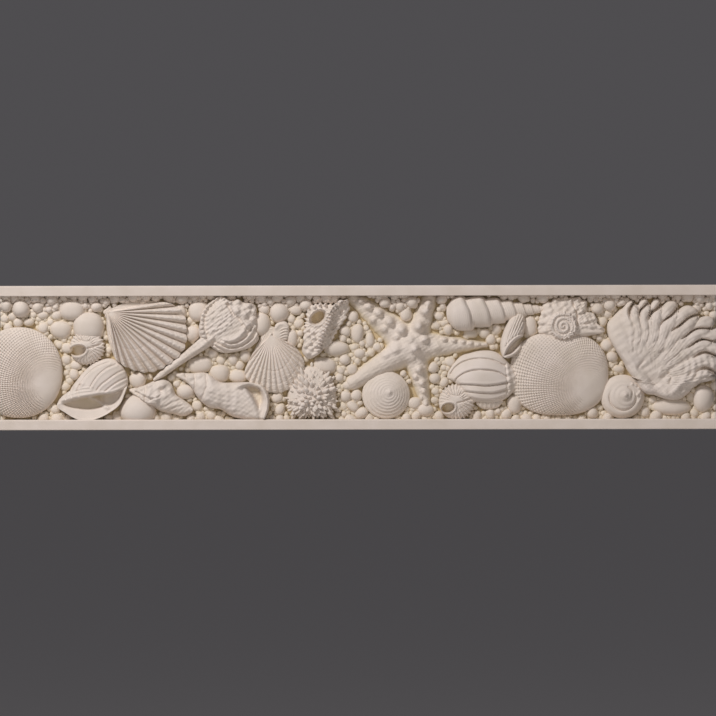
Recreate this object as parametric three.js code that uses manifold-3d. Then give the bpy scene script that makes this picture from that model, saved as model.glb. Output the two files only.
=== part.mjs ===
// A cast plaster moulding: two plain rails frame a bed of pebbles with shells, coral and a starfish.
// Millimetres, +Z up, +X along the moulding. The show side faces -Y and the wall side lies in y = 0.
// The origin is the middle of the wall side. The casting is one solid, cut square at both ends.
import * as THREE from 'three';
import { mergeVertices } from 'three/addons/utils/BufferGeometryUtils.js';
import Module from 'manifold-3d';

const wasm = await Module();
wasm.setup();

// Driving sizes of the frame
const mouldingLength = 716;
const mouldingHeight = 144;
const slabDepth = 10;
const railHeight = 10.4;
const railDepth = 26;
const railArris = 1;
const rootDepth = 2;
const railOverlap = 2.5;

// Heights of the relief above the bed
const lucineRise = 15;
const scallopRise = 11;
const clamRise = 15;
const harpRise = 19;
const whelkRise = 15;
const murexRise = 17;
const bonnetRise = 18;
const turbanRise = 12;
const coneRise = 14;
const starRise = 12;
const coralRise = 12;
const augerRise = 14;
const ribHeight = 1.3;
const shellEdge = 2;
const backSpokes = 3;

// Pebbles
const pebbleRoundness = 0.45;
const pebbleClearance = 0.88;
const smallestPebble = 9;
const pebbleSteps = [11.5, 10, smallestPebble];
const pebbleTries = 700;
const pebbleSeed = 7;

// Derived places
const fieldTop = mouldingHeight / 2 - railHeight;
const fullTurn = Math.PI * 2;
const quarterTurn = Math.PI / 2;
const reliefLimit = slabDepth + 30;

const degrees = angle => angle * Math.PI / 180;
const hump = at => Math.sqrt(Math.max(0, 1 - at * at));

// A smooth curve through a few pairs of a position and a value.
function curve(pairs) {
  const slopeAt = i => {
    const before = pairs[Math.max(i - 1, 0)];
    const after = pairs[Math.min(i + 1, pairs.length - 1)];
    return (after[1] - before[1]) / (after[0] - before[0]);
  };
  return at => {
    let i = 0;
    while (i < pairs.length - 2 && at > pairs[i + 1][0]) i += 1;
    const [from, start] = pairs[i];
    const [to, end] = pairs[i + 1];
    const width = to - from;
    const t = THREE.MathUtils.clamp((at - from) / width, 0, 1);
    const rise = t * t * (3 - 2 * t);
    const leaving = t * (1 - t) * (1 - t) * width * slopeAt(i);
    const arriving = t * t * (1 - t) * width * slopeAt(i + 1);
    return start + (end - start) * rise + leaving - arriving;
  };
}

// A closed three.js geometry becomes a solid that can be joined and cut.
function solidOf(geometry) {
  const bare = geometry.clone();
  bare.deleteAttribute('normal');
  bare.deleteAttribute('uv');
  const merged = mergeVertices(bare, 1e-4);
  const vertProperties = new Float32Array(merged.attributes.position.array);
  const triVerts = new Uint32Array(merged.index.array);
  return new wasm.Manifold(new wasm.Mesh({ numProp: 3, vertProperties, triVerts }));
}

// A ball whose points are moved by a rule. The rule gets the share of the way from the front pole
// to the back pole, and the share of the way round, and gives the new point.
function mouldedBall(spokes, rings, rule) {
  const ball = new THREE.SphereGeometry(1, spokes, rings);
  ball.deleteAttribute('normal');
  ball.deleteAttribute('uv');
  const merged = mergeVertices(ball, 1e-4);
  const points = merged.attributes.position;
  for (let i = 0; i < points.count; i += 1) {
    const down = Math.acos(THREE.MathUtils.clamp(points.getY(i), -1, 1)) / Math.PI;
    const turn = Math.atan2(points.getZ(i), points.getX(i)) / fullTurn;
    const round = (turn + 1) % 1;
    points.setXYZ(i, ...rule(down, round));
  }
  const solid = solidOf(merged);
  return solid.volume() > 0 ? solid : solidOf(turnedOut(merged));
}

// The same geometry with every face turned to look the other way.
function turnedOut(geometry) {
  const corners = geometry.index.array;
  const index = Array.from(corners, (corner, i) => corners[i % 3 === 0 ? i : i % 3 === 1 ? i + 1 : i - 1]);
  geometry.setIndex(index);
  return geometry;
}

// A dome stands on the bed. It is drawn out from one point of its own, as far as its reach in each
// direction, with straight sides down into the slab, so that nothing is undercut.
function dome({ x, z, reach, swell, spokes, rings, angleOf = round => round * fullTurn, spread = s => s }) {
  const firstBack = 1 - 1 / rings;
  const rule = (down, round) => {
    const angle = angleOf(round);
    const s = down * 2;
    const isFront = s <= 1 + 1e-6;
    const share = isFront ? spread(Math.min(s, 1)) : Math.min(1, (2 - s) / firstBack);
    const out = share * reach(angle);
    const depth = isFront ? slabDepth + swell(share, angle, round) : slabDepth - rootDepth;
    return [x + out * Math.cos(angle), -depth, z + out * Math.sin(angle)];
  };
  const covers = (px, pz) => {
    const angle = Math.atan2(pz - z, px - x);
    return Math.hypot(px - x, pz - z) < reach(angle);
  };
  return { solid: mouldedBall(spokes, 2 * rings, rule), covers };
}

// A spindle lies along an axis on the bed, from its point to its mouth end. Its outline on each side
// and its crest are curves of the share along the axis, and ripple adds whorls and ribs.
function spindle({ from, to, left, right, crest, around, along, ripple = () => 0 }) {
  const run = new THREE.Vector2(to[0] - from[0], to[1] - from[1]);
  const axis = run.clone().normalize();
  const firstBack = Math.cos(fullTurn / around);
  const rule = (u, round) => {
    const angle = round * fullTurn;
    const isFront = Math.sin(angle) > -1e-6;
    const reach = Math.cos(angle) > 0 ? left(u) : right(u);
    const extra = isFront ? ripple(u, angle) : 0;
    const sideShare = isFront ? Math.cos(angle) : THREE.MathUtils.clamp(Math.cos(angle) / firstBack, -1, 1);
    const side = (reach + extra) * sideShare;
    const height = shellEdge * Math.min(1, crest(u) / shellEdge) + (crest(u) - shellEdge + extra) * Math.sin(angle);
    const depth = isFront ? slabDepth + Math.max(height, -rootDepth) : slabDepth - rootDepth;
    const x = from[0] + run.x * u - axis.y * side;
    const z = from[1] + run.y * u + axis.x * side;
    return [x, -depth, z];
  };
  const covers = (px, pz) => {
    const dx = px - from[0];
    const dz = pz - from[1];
    const u = (dx * axis.x + dz * axis.y) / run.length();
    const side = dz * axis.x - dx * axis.y;
    return u > 0 && u < 1 && side < left(u) && side > -right(u);
  };
  return { solid: mouldedBall(around, along, rule), covers };
}

// A mouth is scooped out of a shell with an egg-shaped cutter.
function scooped(shell, { x, z, width, height, depth, turn = 0, rise }) {
  const cutter = new THREE.SphereGeometry(1, 10, 6);
  cutter.scale(width / 2, depth, height / 2);
  cutter.rotateY(-degrees(turn));
  cutter.translate(x, -slabDepth - rise, z);
  return { solid: shell.solid.subtract(solidOf(cutter)), covers: shell.covers };
}

const joined = shells => ({
  solid: shells.map(shell => shell.solid).reduce((whole, next) => whole.add(next)),
  covers: (px, pz) => shells.some(shell => shell.covers(px, pz)),
});

// Frame: one profile through the slab and both rails, pushed along the length
function frameSolid() {
  const top = mouldingHeight / 2;
  const half = [
    [0, top],
    [railDepth - railArris, top],
    [railDepth, top - railArris],
    [railDepth, fieldTop + railArris],
    [railDepth - railArris, fieldTop],
    [slabDepth, fieldTop],
  ];
  const mirrored = half.map(([depth, z]) => [depth, -z]).reverse();
  const outline = [...half, ...mirrored].map(([depth, z]) => new THREE.Vector2(depth, z));
  const profile = new THREE.ExtrudeGeometry(new THREE.Shape(outline), {
    depth: mouldingLength,
    bevelEnabled: false,
  });
  const toFrame = new THREE.Matrix4().makeBasis(
    new THREE.Vector3(0, -1, 0),
    new THREE.Vector3(0, 0, 1),
    new THREE.Vector3(-1, 0, 0),
  );
  profile.applyMatrix4(toFrame);
  profile.translate(mouldingLength / 2, 0, 0);
  return solidOf(profile);
}

// Lucine: a low round valve with its beak off centre
function lucine({ centre, halfWidth, halfHeight, beak, squareness }) {
  const norm = (px, pz) => {
    const across = Math.abs((px - centre[0]) / halfWidth) ** squareness;
    const up = Math.abs((pz - centre[1]) / halfHeight) ** squareness;
    return (across + up) ** (1 / squareness);
  };
  const reach = angle => {
    let inside = 0;
    let outside = halfWidth + halfHeight;
    for (let step = 0; step < 18; step += 1) {
      const middle = (inside + outside) / 2;
      const isInside = norm(beak[0] + middle * Math.cos(angle), beak[1] + middle * Math.sin(angle)) < 1;
      if (isInside) inside = middle;
      else outside = middle;
    }
    return inside;
  };
  const swell = (s, angle) => {
    const out = s * reach(angle);
    const edge = norm(beak[0] + out * Math.cos(angle), beak[1] + out * Math.sin(angle));
    return shellEdge + (lucineRise - shellEdge) * hump(Math.min(1, edge) ** 1.3);
  };
  return dome({ x: beak[0], z: beak[1], reach, swell, spokes: 24, rings: 4 });
}

// Scallop: a fan of ribs from the beak, with its outline as reach against angle
function scallop({ beak, outline, fan, ribs, rise }) {
  const reachAt = curve(outline);
  const reach = angle => {
    const turned = THREE.MathUtils.euclideanModulo(angle * 180 / Math.PI - outline[0][0], 360);
    return reachAt(turned + outline[0][0]);
  };
  const spokes = 2 * (ribs + backSpokes);
  const fanShare = 2 * ribs / spokes;
  const restWidth = 360 - (fan[1] - fan[0]);
  const angleOf = round => {
    const inFan = fan[0] + (fan[1] - fan[0]) * (round / fanShare);
    const behind = fan[1] + restWidth * ((round - fanShare) / (1 - fanShare));
    return degrees(round <= fanShare ? inFan : behind);
  };
  const swell = (s, angle, round) => {
    const isFan = round <= fanShare;
    const across = isFan ? (round / fanShare - 0.5) * 2 : 1;
    const profile = (0.5 + 1.6 * s) * (1 - s) ** 0.7;
    const rib = isFan ? ribHeight * Math.min(1, 3 * s) * Math.cos(fullTurn * ribs * round / fanShare) : 0;
    return shellEdge + (rise - shellEdge) * profile * (0.35 + 0.65 * hump(across)) + rib;
  };
  return dome({ x: beak[0], z: beak[1], reach, swell, spokes, rings: 4, angleOf });
}

// A coiled shell seen from its point: a spiral groove runs round the dome
function coil({ x, z, radius, rise, turns, groove, frill = 0, frills = 1, spokes = 14 }) {
  const reach = angle => radius + frill * Math.cos(frills * angle);
  const swell = (s, angle) => {
    const phase = turns * s + angle / fullTurn;
    const cut = groove * Math.cos(fullTurn * phase) * Math.min(1, 4 * (1 - s));
    return shellEdge + (rise - shellEdge) * hump(s) ** 0.8 + cut;
  };
  return dome({ x, z, reach, swell, spokes, rings: 4 });
}

// An arm of the starfish: thick at the middle, thin at the tip, with knobs along its back
function arm({ tip, rootWidth, tipWidth, knobs }) {
  const width = u => (rootWidth + (tipWidth - rootWidth) * u) / 2 * hump(Math.max(0, (u - 0.9) / 0.1));
  const crest = u => (starRise - 5 * u) * hump(Math.max(0, (u - 0.85) / 0.15));
  const ripple = (u, angle) => 0.7 * Math.cos(fullTurn * knobs * u) * Math.sin(angle) * hump(2 * u - 1);
  return spindle({ from: starCentre, to: tip, left: width, right: width, crest, around: 8, along: 2 * knobs, ripple });
}

const starCentre = [56, 11.5];
const starArms = [
  { tip: [-2, 58.5], rootWidth: 32, tipWidth: 8, knobs: 5 },
  { tip: [71, 55.5], rootWidth: 30, tipWidth: 10, knobs: 4 },
  { tip: [127, 13.5], rootWidth: 36, tipWidth: 7, knobs: 5 },
  { tip: [-1, -22], rootWidth: 28, tipWidth: 14, knobs: 4 },
  { tip: [67.5, -52.5], rootWidth: 30, tipWidth: 8, knobs: 5 },
];

function starfish() {
  const reach = angle => 17 + 2 * Math.cos(5 * angle);
  const swell = s => shellEdge + (starRise + 1) * hump(s) ** 0.7;
  const middle = dome({ x: starCentre[0], z: starCentre[1], reach, swell, spokes: 10, rings: 3 });
  return joined([middle, ...starArms.map(arm)]);
}

// A branch of the coral: a short blunt cone that leans out from the middle of the lump
const coralCentre = [-46, -46];
const coralBranches = 9;
const coralReach = 31;
function coralBranch(index) {
  const angle = degrees(-24) + degrees(228) * index / (coralBranches - 1);
  const length = coralReach * (0.85 + 0.15 * Math.cos(2 * index));
  const tip = [coralCentre[0] + length * Math.cos(angle), coralCentre[1] + length * Math.sin(angle)];
  const width = u => (7 - 3.5 * u) * hump(Math.max(0, (u - 0.85) / 0.15));
  const crest = u => (coralRise + 2 - 5 * u) * hump(Math.max(0, (u - 0.85) / 0.15));
  return spindle({ from: coralCentre, to: tip, left: width, right: width, crest, around: 6, along: 4 });
}

function coral() {
  const reach = angle => 19 + 1.5 * Math.cos(5 * angle);
  const swell = s => shellEdge + (coralRise + 4) * hump(s);
  const lump = dome({ x: coralCentre[0], z: coralCentre[1], reach, swell, spokes: 9, rings: 3 });
  return joined([lump, ...Array.from({ length: coralBranches }, (_, i) => coralBranch(i))]);
}

// Giant clam: deep folds fan out from the hinge and end in a wavy edge that runs off the right end
function clam() {
  const folds = 7;
  const fan = [0, 133];
  const spokes = 4 * folds + backSpokes;
  const outline = [
    [-180, 16], [-90, 13], [-31, 21], [-8, 60], [0, 72], [20, 88], [44, 88], [70, 86], [92, 87],
    [106, 88], [122, 83], [131, 74], [138, 50], [151, 33], [165, 19], [180, 16],
  ];
  const plain = curve(outline);
  const fanShare = 4 * folds / spokes;
  const angleOf = round => {
    const inFan = fan[1] * round / fanShare;
    const behind = fan[1] + (360 - fan[1]) * (round - fanShare) / (1 - fanShare);
    return degrees(round <= fanShare ? inFan : behind);
  };
  const fold = angle => {
    const turned = angle * 180 / Math.PI;
    return turned >= fan[0] && turned <= fan[1] ? Math.cos(fullTurn * folds * turned / fan[1]) : 0;
  };
  const wrapped = angle => Math.atan2(Math.sin(angle), Math.cos(angle));
  const reach = angle => plain(wrapped(angle) * 180 / Math.PI) + 5 * fold(wrapped(angle));
  const swell = (s, angle) => {
    const profile = (0.55 + 1.5 * s) * (1 - s) ** 0.55;
    return shellEdge + 1 + clamRise * profile + 3 * Math.min(1, 1.6 * s) * fold(wrapped(angle));
  };
  return dome({ x: 297, z: -27.5, reach, swell, spokes, rings: 4, angleOf });
}

// Harp shell: a fat barrel with ribs from its spire at the right to its mouth end at the left
function harp() {
  const left = curve([[0, 5], [0.1, 10], [0.25, 21], [0.45, 30], [0.7, 27], [0.9, 16], [1, 3]]);
  const right = curve([[0, 5], [0.1, 13], [0.25, 20], [0.5, 25], [0.75, 26], [0.93, 17], [1, 3]]);
  const crest = curve([[0, 5], [0.15, 13], [0.4, harpRise], [0.7, harpRise - 1], [0.92, 12], [1, 3]]);
  const ribs = 7;
  const ripple = (u, angle) => 1.1 * Math.cos(2 * ribs * angle) * hump(2 * u - 1);
  return spindle({ from: [160, -25.5], to: [88, -17], left, right, crest, around: 4 * ribs, along: 7, ripple });
}

// Auger: a long cone of whorls, each parted from the next by a slanting groove
function auger() {
  const whorls = 6.5;
  const girth = curve([[0, 1.5], [0.1, 3.2], [0.3, 7], [0.42, 10.5], [0.6, 14], [0.85, 17], [0.95, 13], [1, 5]]);
  const crest = u => augerRise * Math.min(1, 0.25 + girth(u) / 20);
  const grooveAt = u => whorls * u ** 0.72;
  const ripple = (u, angle) => {
    const phase = grooveAt(u) + angle / fullTurn;
    return -0.12 * girth(u) * (0.5 + 0.5 * Math.cos(fullTurn * phase)) ** 3;
  };
  return spindle({ from: [189, 48.5], to: [88, 43.5], left: girth, right: girth, crest, around: 12, along: 18, ripple });
}

// Whelks: knobbed spindles with a drawn-out mouth end
function whelk({ from, to, left, right, knobs, knobHeight, along = 12 }) {
  const sides = [curve(left), curve(right)];
  const crest = u => whelkRise * Math.min(1, 0.2 + 2.6 * u) * (1 - 0.45 * u * u);
  const ripple = (u, angle) => knobHeight * Math.cos(knobs * angle) * hump(2 * u - 1);
  return spindle({ from, to, left: sides[0], right: sides[1], crest, around: 12, along, ripple });
}

function smallWhelk() {
  const left = [[0, 1], [0.22, 10.5], [0.33, 17], [0.47, 21], [0.57, 19], [0.69, 10], [0.81, 7.5], [0.95, 4], [1, 2]];
  const right = [[0, 1], [0.14, 5], [0.25, 9.8], [0.42, 8.5], [0.52, 10.3], [0.73, 10], [0.97, 4.7], [1, 2]];
  return whelk({ from: [-229.4, -32], to: [-165, -52.5], left, right, knobs: 6, knobHeight: 1 });
}

function largeWhelk() {
  const left = [[0, 2], [0.12, 7.3], [0.25, 14.5], [0.45, 13.4], [0.57, 19.3], [0.72, 26.6], [0.86, 28], [1, 10]];
  const right = [[0, 2], [0.16, 3.5], [0.33, 12.7], [0.45, 14.8], [0.56, 11.6], [0.67, 12.8], [0.8, 10.9], [1, 3]];
  const body = whelk({ from: [-182, -16.5], to: [-95, -61], left, right, knobs: 6, knobHeight: 1, along: 16 });
  return scooped(body, { x: -101, z: -37, width: 12, height: 23, depth: 9, turn: -12, rise: 13 });
}

function slitWhelk() {
  const side = [[0, 2], [0.25, 9], [0.55, 10.5], [0.8, 8], [1, 1.5]];
  const body = whelk({ from: [166, 46], to: [142, 2], left: side, right: side, knobs: 8, knobHeight: 0.8 });
  return scooped(body, { x: 155, z: 12, width: 24, height: 4, depth: 5, turn: 39, rise: 9 });
}

// Bonnet shell: a round body whorl with a wide open mouth below it
function bonnet() {
  const outline = curve([
    [-180, 28], [-161, 43], [-145, 39], [-113, 33], [-90, 27], [-62, 24], [-32, 25], [-7, 26], [20, 32],
    [40, 34], [63, 35], [92, 29], [123, 24], [158, 24], [180, 28],
  ]);
  const reach = angle => outline(Math.atan2(Math.sin(angle), Math.cos(angle)) * 180 / Math.PI);
  const swell = (s, angle) => {
    const ridges = 0.9 * Math.cos(fullTurn * 2.5 * s) * Math.max(0, Math.cos(angle - degrees(60)));
    return shellEdge + (bonnetRise - shellEdge) * hump(s) ** 0.8 + ridges;
  };
  const body = dome({ x: -260, z: -32.5, reach, swell, spokes: 18, rings: 4 });
  return scooped(body, { x: -268, z: -48, width: 44, height: 15, depth: 11, turn: 4, rise: 15 });
}

// Murex: a knobbed body in a rolled collar, with one long straight canal
function murex() {
  const outline = curve([
    [-180, 22], [-141, 27], [-125, 26], [-94, 30], [-58, 34], [-36, 39], [-25, 40], [-5, 35], [22, 37],
    [51, 28], [70, 24], [92, 27], [114, 24], [142, 23], [180, 22],
  ]);
  const reach = angle => outline(Math.atan2(Math.sin(angle), Math.cos(angle)) * 180 / Math.PI);
  const swell = (s, angle) => {
    const collar = 4 * hump((s - 0.8) / 0.25) * Math.max(0, Math.cos(angle - degrees(150)));
    const knobs = 1.3 * Math.cos(6 * angle) * s;
    return shellEdge + (murexRise - shellEdge) * hump(s) ** 0.8 + collar + knobs;
  };
  const body = dome({ x: -136, z: 35.5, reach, swell, spokes: 20, rings: 5 });
  const canalWidth = u => (5.5 - 3 * u) * hump(Math.max(0, (u - 0.9) / 0.1));
  const canalCrest = u => (13 - 8 * u) * hump(Math.max(0, (u - 0.9) / 0.1));
  const canal = spindle({
    from: [-142, 28],
    to: [-203, -21.5],
    left: canalWidth,
    right: canalWidth,
    crest: canalCrest,
    around: 8,
    along: 8,
  });
  return joined([body, canal]);
}

// Thorn shell: a mouth with a thick scaled lip, and a pointed spire below it
function thornShell() {
  const outline = curve([
    [-180, 17], [-142, 24], [-124, 33], [-108, 32], [-95, 25], [-65, 19], [-28, 15], [19, 24], [33, 32],
    [49, 38], [62, 28], [90, 25], [118, 25], [148, 19], [180, 17],
  ]);
  const reach = angle => outline(Math.atan2(Math.sin(angle), Math.cos(angle)) * 180 / Math.PI);
  const swell = s => shellEdge + (murexRise - shellEdge) * hump(s) ** 0.8;
  const body = dome({ x: -36, z: 29.5, reach, swell, spokes: 16, rings: 4 });
  const open = scooped(body, { x: -40, z: 40, width: 15, height: 14, depth: 9, rise: 15 });
  const scales = 7;
  const ridge = spindle({
    from: [-11, 58],
    to: [-37, 4],
    left: () => 6,
    right: () => 6,
    crest: u => murexRise * hump(2 * u - 1) + 0.01,
    around: 6,
    along: 2 * scales,
    ripple: (u, angle) => 1.1 * Math.cos(fullTurn * scales * u) * Math.sin(angle),
  });
  return joined([open, ridge]);
}

// Everything that lies on the bed, apart from the pebbles
function carving() {
  const leftLucine = lucine({
    centre: [-339, -14.5], halfWidth: 43.5, halfHeight: 45.5, beak: [-308, -27.5], squareness: 2.1,
  });
  const rightLucine = lucine({
    centre: [201, -16.5], halfWidth: 49.5, halfHeight: 42, beak: [232, -30.5], squareness: 2.4,
  });
  const leftScallop = scallop({
    beak: [-249, 45.5],
    outline: [
      [-180, 6], [-138, 6], [-95, 22], [-82, 47], [-70, 60], [-54, 74], [-40, 80], [-25, 84], [-10, 78],
      [-2, 75], [6, 66], [12, 52], [29, 22], [90, 7], [180, 6],
    ],
    fan: [-90, 14],
    ribs: 13,
    rise: scallopRise,
  });
  const middleScallop = scallop({
    beak: [-87, 22.5],
    outline: [
      [-180, 9], [-160, 12], [-145, 18], [-133, 30], [-127, 44], [-116, 52], [-104, 56], [-92, 58],
      [-79, 59], [-64, 55], [-51, 50], [-42, 46], [-34, 38], [-26, 28], [-14, 12], [90, 6], [180, 9],
    ],
    fan: [-134, -24],
    ribs: 12,
    rise: scallopRise,
  });
  const lowTurban = coil({ x: -271, z: 9.5, radius: 16.5, rise: turbanRise, turns: 1.5, groove: 0.8 });
  const rightTurban = coil({ x: 98, z: -45.5, radius: 17.5, rise: turbanRise, turns: 1.5, groove: 0.8 });
  const ringedCone = coil({ x: 28, z: -37, radius: 24, rise: coneRise, turns: 3, groove: 0.5, spokes: 18 });
  const moonSnail = coil({ x: 264, z: -40, radius: 21.5, rise: coneRise, turns: 1.5, groove: 1, spokes: 18 });
  const frilledTurban = coil({
    x: 207, z: 34, radius: 26, rise: lucineRise, turns: 2, groove: 1.4, frill: 2.2, frills: 9, spokes: 18,
  });
  return [
    leftLucine,
    rightLucine,
    leftScallop,
    middleScallop,
    scooped(lowTurban, { x: -279, z: 8, width: 16, height: 10, depth: 7, rise: 11 }),
    scooped(rightTurban, { x: 90, z: -51.5, width: 14, height: 11, depth: 7, rise: 11 }),
    ringedCone,
    moonSnail,
    frilledTurban,
    bonnet(),
    smallWhelk(),
    largeWhelk(),
    slitWhelk(),
    murex(),
    thornShell(),
    coral(),
    starfish(),
    harp(),
    auger(),
    clam(),
  ];
}

// The largest pebbles, as place along, place up, width and height
const largePebbles = [
  [-352, 52, 12, 12], [-337, 50, 18, 18], [-315, 43, 12, 10], [-286, 46, 26, 20], [-298, 27, 23, 16],
  [-284, -16, 11, 12], [-261, 50, 12, 10], [-269, 27, 30, 36], [-220, -22, 17, 16], [-218, -54, 36, 28],
  [-172, -34, 18, 16], [-158, -7, 27, 18], [-139, -16, 20, 18], [-120, -18, 16, 12], [-165, 24, 15, 18],
  [-159, 47, 22, 22], [-94, 48, 12, 9], [-96, 34, 20, 24], [-78, 46, 18, 20], [-62, 48, 14, 10],
  [-68, 21, 16, 22], [-52, 53, 14, 10], [-21, 10, 22, 15], [-33, -8, 24, 18], [-1, 24, 14, 18],
  [12, 18, 10, 14], [2, 4, 12, 10], [113, 25, 14, 9], [126, 24, 12, 9], [133, 17, 11, 11],
  [139, 28, 10, 12], [172, 32, 14, 24], [156, -47, 15, 18], [240, 49, 14, 12], [261, -12, 11, 9],
  [339, 49, 10, 9], [351, 51, 9, 9], [311, -50, 40, 20], [344, -42, 20, 28], [-161, -48, 10, 10],
];

function pebble([x, z, width, height]) {
  const isLarge = width > 2 * smallestPebble;
  const rise = pebbleRoundness * Math.min(width, height) + shellEdge;
  const reach = angle => width * height / 2 / Math.hypot(height * Math.cos(angle), width * Math.sin(angle));
  return dome({
    x,
    z,
    reach,
    swell: s => rise * hump(s),
    spokes: isLarge ? 8 : 6,
    rings: isLarge ? 3 : 2,
    spread: s => Math.sin(s * quarterTurn),
  });
}

// Smaller pebbles are thrown at random places, and stay where they touch no shell and no other pebble.
function fillPebbles(shells) {
  let state = pebbleSeed;
  const random = () => {
    state = (state * 1664525 + 1013904223) % 4294967296;
    return state / 4294967296;
  };
  const settled = largePebbles.map(([x, z, width, height]) => [x, z, Math.min(width, height), width, height]);
  const isFree = (x, z, size) => {
    for (let corner = 0; corner < 8; corner += 1) {
      const angle = corner * fullTurn / 8;
      const px = x + 0.36 * size * Math.cos(angle);
      const pz = z + 0.36 * size * Math.sin(angle);
      if (shells.some(shell => shell.covers(px, pz))) return false;
    }
    return settled.every(([ox, oz, , width, height]) => {
      const away = Math.hypot((x - ox) / (width + size), (z - oz) / (height + size));
      return away > pebbleClearance / 2;
    });
  };
  const small = [];
  for (const size of pebbleSteps) {
    for (let attempt = 0; attempt < pebbleTries; attempt += 1) {
      const x = (random() - 0.5) * mouldingLength;
      const z = (random() - 0.5) * (2 * fieldTop - size);
      const width = size * (0.9 + 0.25 * random());
      const height = size * (0.9 + 0.25 * random());
      if (isFree(x, z, size)) {
        settled.push([x, z, size, width, height]);
        small.push([x, z, width, height]);
      }
    }
  }
  return small;
}

// The whole casting
function mouldingSolid() {
  const shells = carving();
  const pebbles = [...largePebbles, ...fillPebbles(shells)].map(pebble);
  const field = new THREE.BoxGeometry(mouldingLength, reliefLimit, 2 * (fieldTop + railOverlap));
  field.translate(0, -reliefLimit / 2, 0);
  const relief = joined([...shells, ...pebbles]).solid.intersect(solidOf(field));
  return frameSolid().add(relief);
}

function meshOf(solid, name, material) {
  const { vertProperties, triVerts } = solid.getMesh();
  const geometry = new THREE.BufferGeometry();
  geometry.setAttribute('position', new THREE.BufferAttribute(new Float32Array(vertProperties), 3));
  geometry.setIndex(new THREE.BufferAttribute(new Uint32Array(triVerts), 1));
  geometry.computeVertexNormals();
  const mesh = new THREE.Mesh(geometry, material);
  mesh.name = name;
  return mesh;
}

const plaster = new THREE.MeshStandardMaterial({ color: 0xe6dccd, roughness: 0.85, metalness: 0 });
const moulding = new THREE.Group();
moulding.add(meshOf(mouldingSolid(), 'shell_moulding', plaster));

export default moulding;
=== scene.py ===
# %% [markdown]
# A cast plaster moulding, modelled as a lesson. The construction model gives the frame: one solid
# slab with two rails and a relief of shells. Here every shell is made again in fine detail, stands
# on the same slab, and rides with it. All sizes below are millimetres until the last step of each
# piece, which writes metres.

# %% The frame and the tools
import math
import bpy
import numpy as np
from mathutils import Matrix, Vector


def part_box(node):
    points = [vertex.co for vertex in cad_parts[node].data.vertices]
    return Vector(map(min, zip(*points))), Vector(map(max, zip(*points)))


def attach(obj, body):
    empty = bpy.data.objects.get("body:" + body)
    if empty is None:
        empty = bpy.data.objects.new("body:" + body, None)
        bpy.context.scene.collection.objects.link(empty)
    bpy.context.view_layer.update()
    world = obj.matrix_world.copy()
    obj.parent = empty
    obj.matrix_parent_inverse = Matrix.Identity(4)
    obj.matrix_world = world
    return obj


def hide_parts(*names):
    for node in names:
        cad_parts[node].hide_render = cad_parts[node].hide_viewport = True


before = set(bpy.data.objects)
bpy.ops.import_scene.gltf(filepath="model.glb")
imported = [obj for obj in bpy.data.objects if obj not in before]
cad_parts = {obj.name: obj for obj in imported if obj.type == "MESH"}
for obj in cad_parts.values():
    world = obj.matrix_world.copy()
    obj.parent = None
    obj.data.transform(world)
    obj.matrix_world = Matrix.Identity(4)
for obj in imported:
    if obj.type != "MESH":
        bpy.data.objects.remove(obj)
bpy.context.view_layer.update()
casting = "shell_moulding"
low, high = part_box(casting)
print("frame from", [round(v, 4) for v in low], "to", [round(v, 4) for v in high])


# %% [markdown]
# A cast moulding is drawn like a long sheet of paper, so places are given as on a drawing: so many
# millimetres along from the left end and so many down from the top edge. Depth is given as height
# above the bed, the flat face of the slab that everything lies on.

# %% Sizes of the casting
mm = 0.001
length = (high[0] - low[0]) / mm
height = (high[2] - low[2]) / mm
slab_depth = 10.0
rail_height = 10.4
rail_depth = 26.0
upper_arris = 1.4
lower_arris = 0.6
root_depth = 2.0
turn = 2 * math.pi
print("casting", round(length, 1), "x", round(height, 1), "mm")


def across(along):
    return np.asarray(along, float) - length / 2


def up(down):
    return height / 2 - np.asarray(down, float)


# %% [markdown]
# Blender's operators act on whatever is selected, and loading the frame leaves its solids selected.
# So each step starts by selecting nothing, or only its own piece.

# %% Selecting and reading meshes
def select_nothing():
    if bpy.context.mode != "OBJECT":
        bpy.ops.object.mode_set(mode="OBJECT")
    bpy.ops.object.select_all(action="DESELECT")


def select_only(piece):
    select_nothing()
    piece.select_set(True)
    bpy.context.view_layer.objects.active = piece


def read_points(piece):
    flat = np.empty(len(piece.data.vertices) * 3)
    piece.data.vertices.foreach_get("co", flat)
    return flat.reshape(-1, 3)


def write_points(piece, points):
    piece.data.vertices.foreach_set("co", np.ascontiguousarray(points, float).ravel())
    piece.data.update()


# %% [markdown]
# The camera stands straight in front, as the photographer's did, and far away, so that the rails
# stay parallel. A long lens then fills the picture with the length shown.

# %% Camera
sensor_width = 36
picture_width = 0.7145
camera_distance = 5.0
camera_level = -0.0005
camera_roll = math.radians(0.105)
camera_data = bpy.data.cameras.new("front_camera")
camera_data.sensor_width = sensor_width
camera_data.lens = sensor_width * (camera_distance - rail_depth * mm) / picture_width
camera_data.clip_end = 100
camera = bpy.data.objects.new("front_camera", camera_data)
camera.location = (0, -camera_distance, camera_level)
camera.rotation_euler = (math.pi / 2, camera_roll, 0)
bpy.context.collection.objects.link(camera)
bpy.context.scene.camera = camera
print("lens", round(camera_data.lens, 1), "mm")


# %% [markdown]
# Relief is only seen by its shadows. One soft lamp high on the left rakes over the shells, a weak
# wide one opens the shadows, and a plain grey surround lights the rest evenly.

# %% Light and surround
def soft_lamp(name, place, size, power, colour):
    data = bpy.data.lights.new(name, "AREA")
    data.shape = "DISK"
    data.size = size
    data.energy = power
    data.color = colour
    lamp = bpy.data.objects.new(name, data)
    lamp.location = place
    aim = Vector((0, 0, 0)) - Vector(place)
    lamp.rotation_euler = aim.to_track_quat("-Z", "Y").to_euler()
    bpy.context.collection.objects.link(lamp)
    print(name, round(aim.length, 2), "m away")


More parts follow.
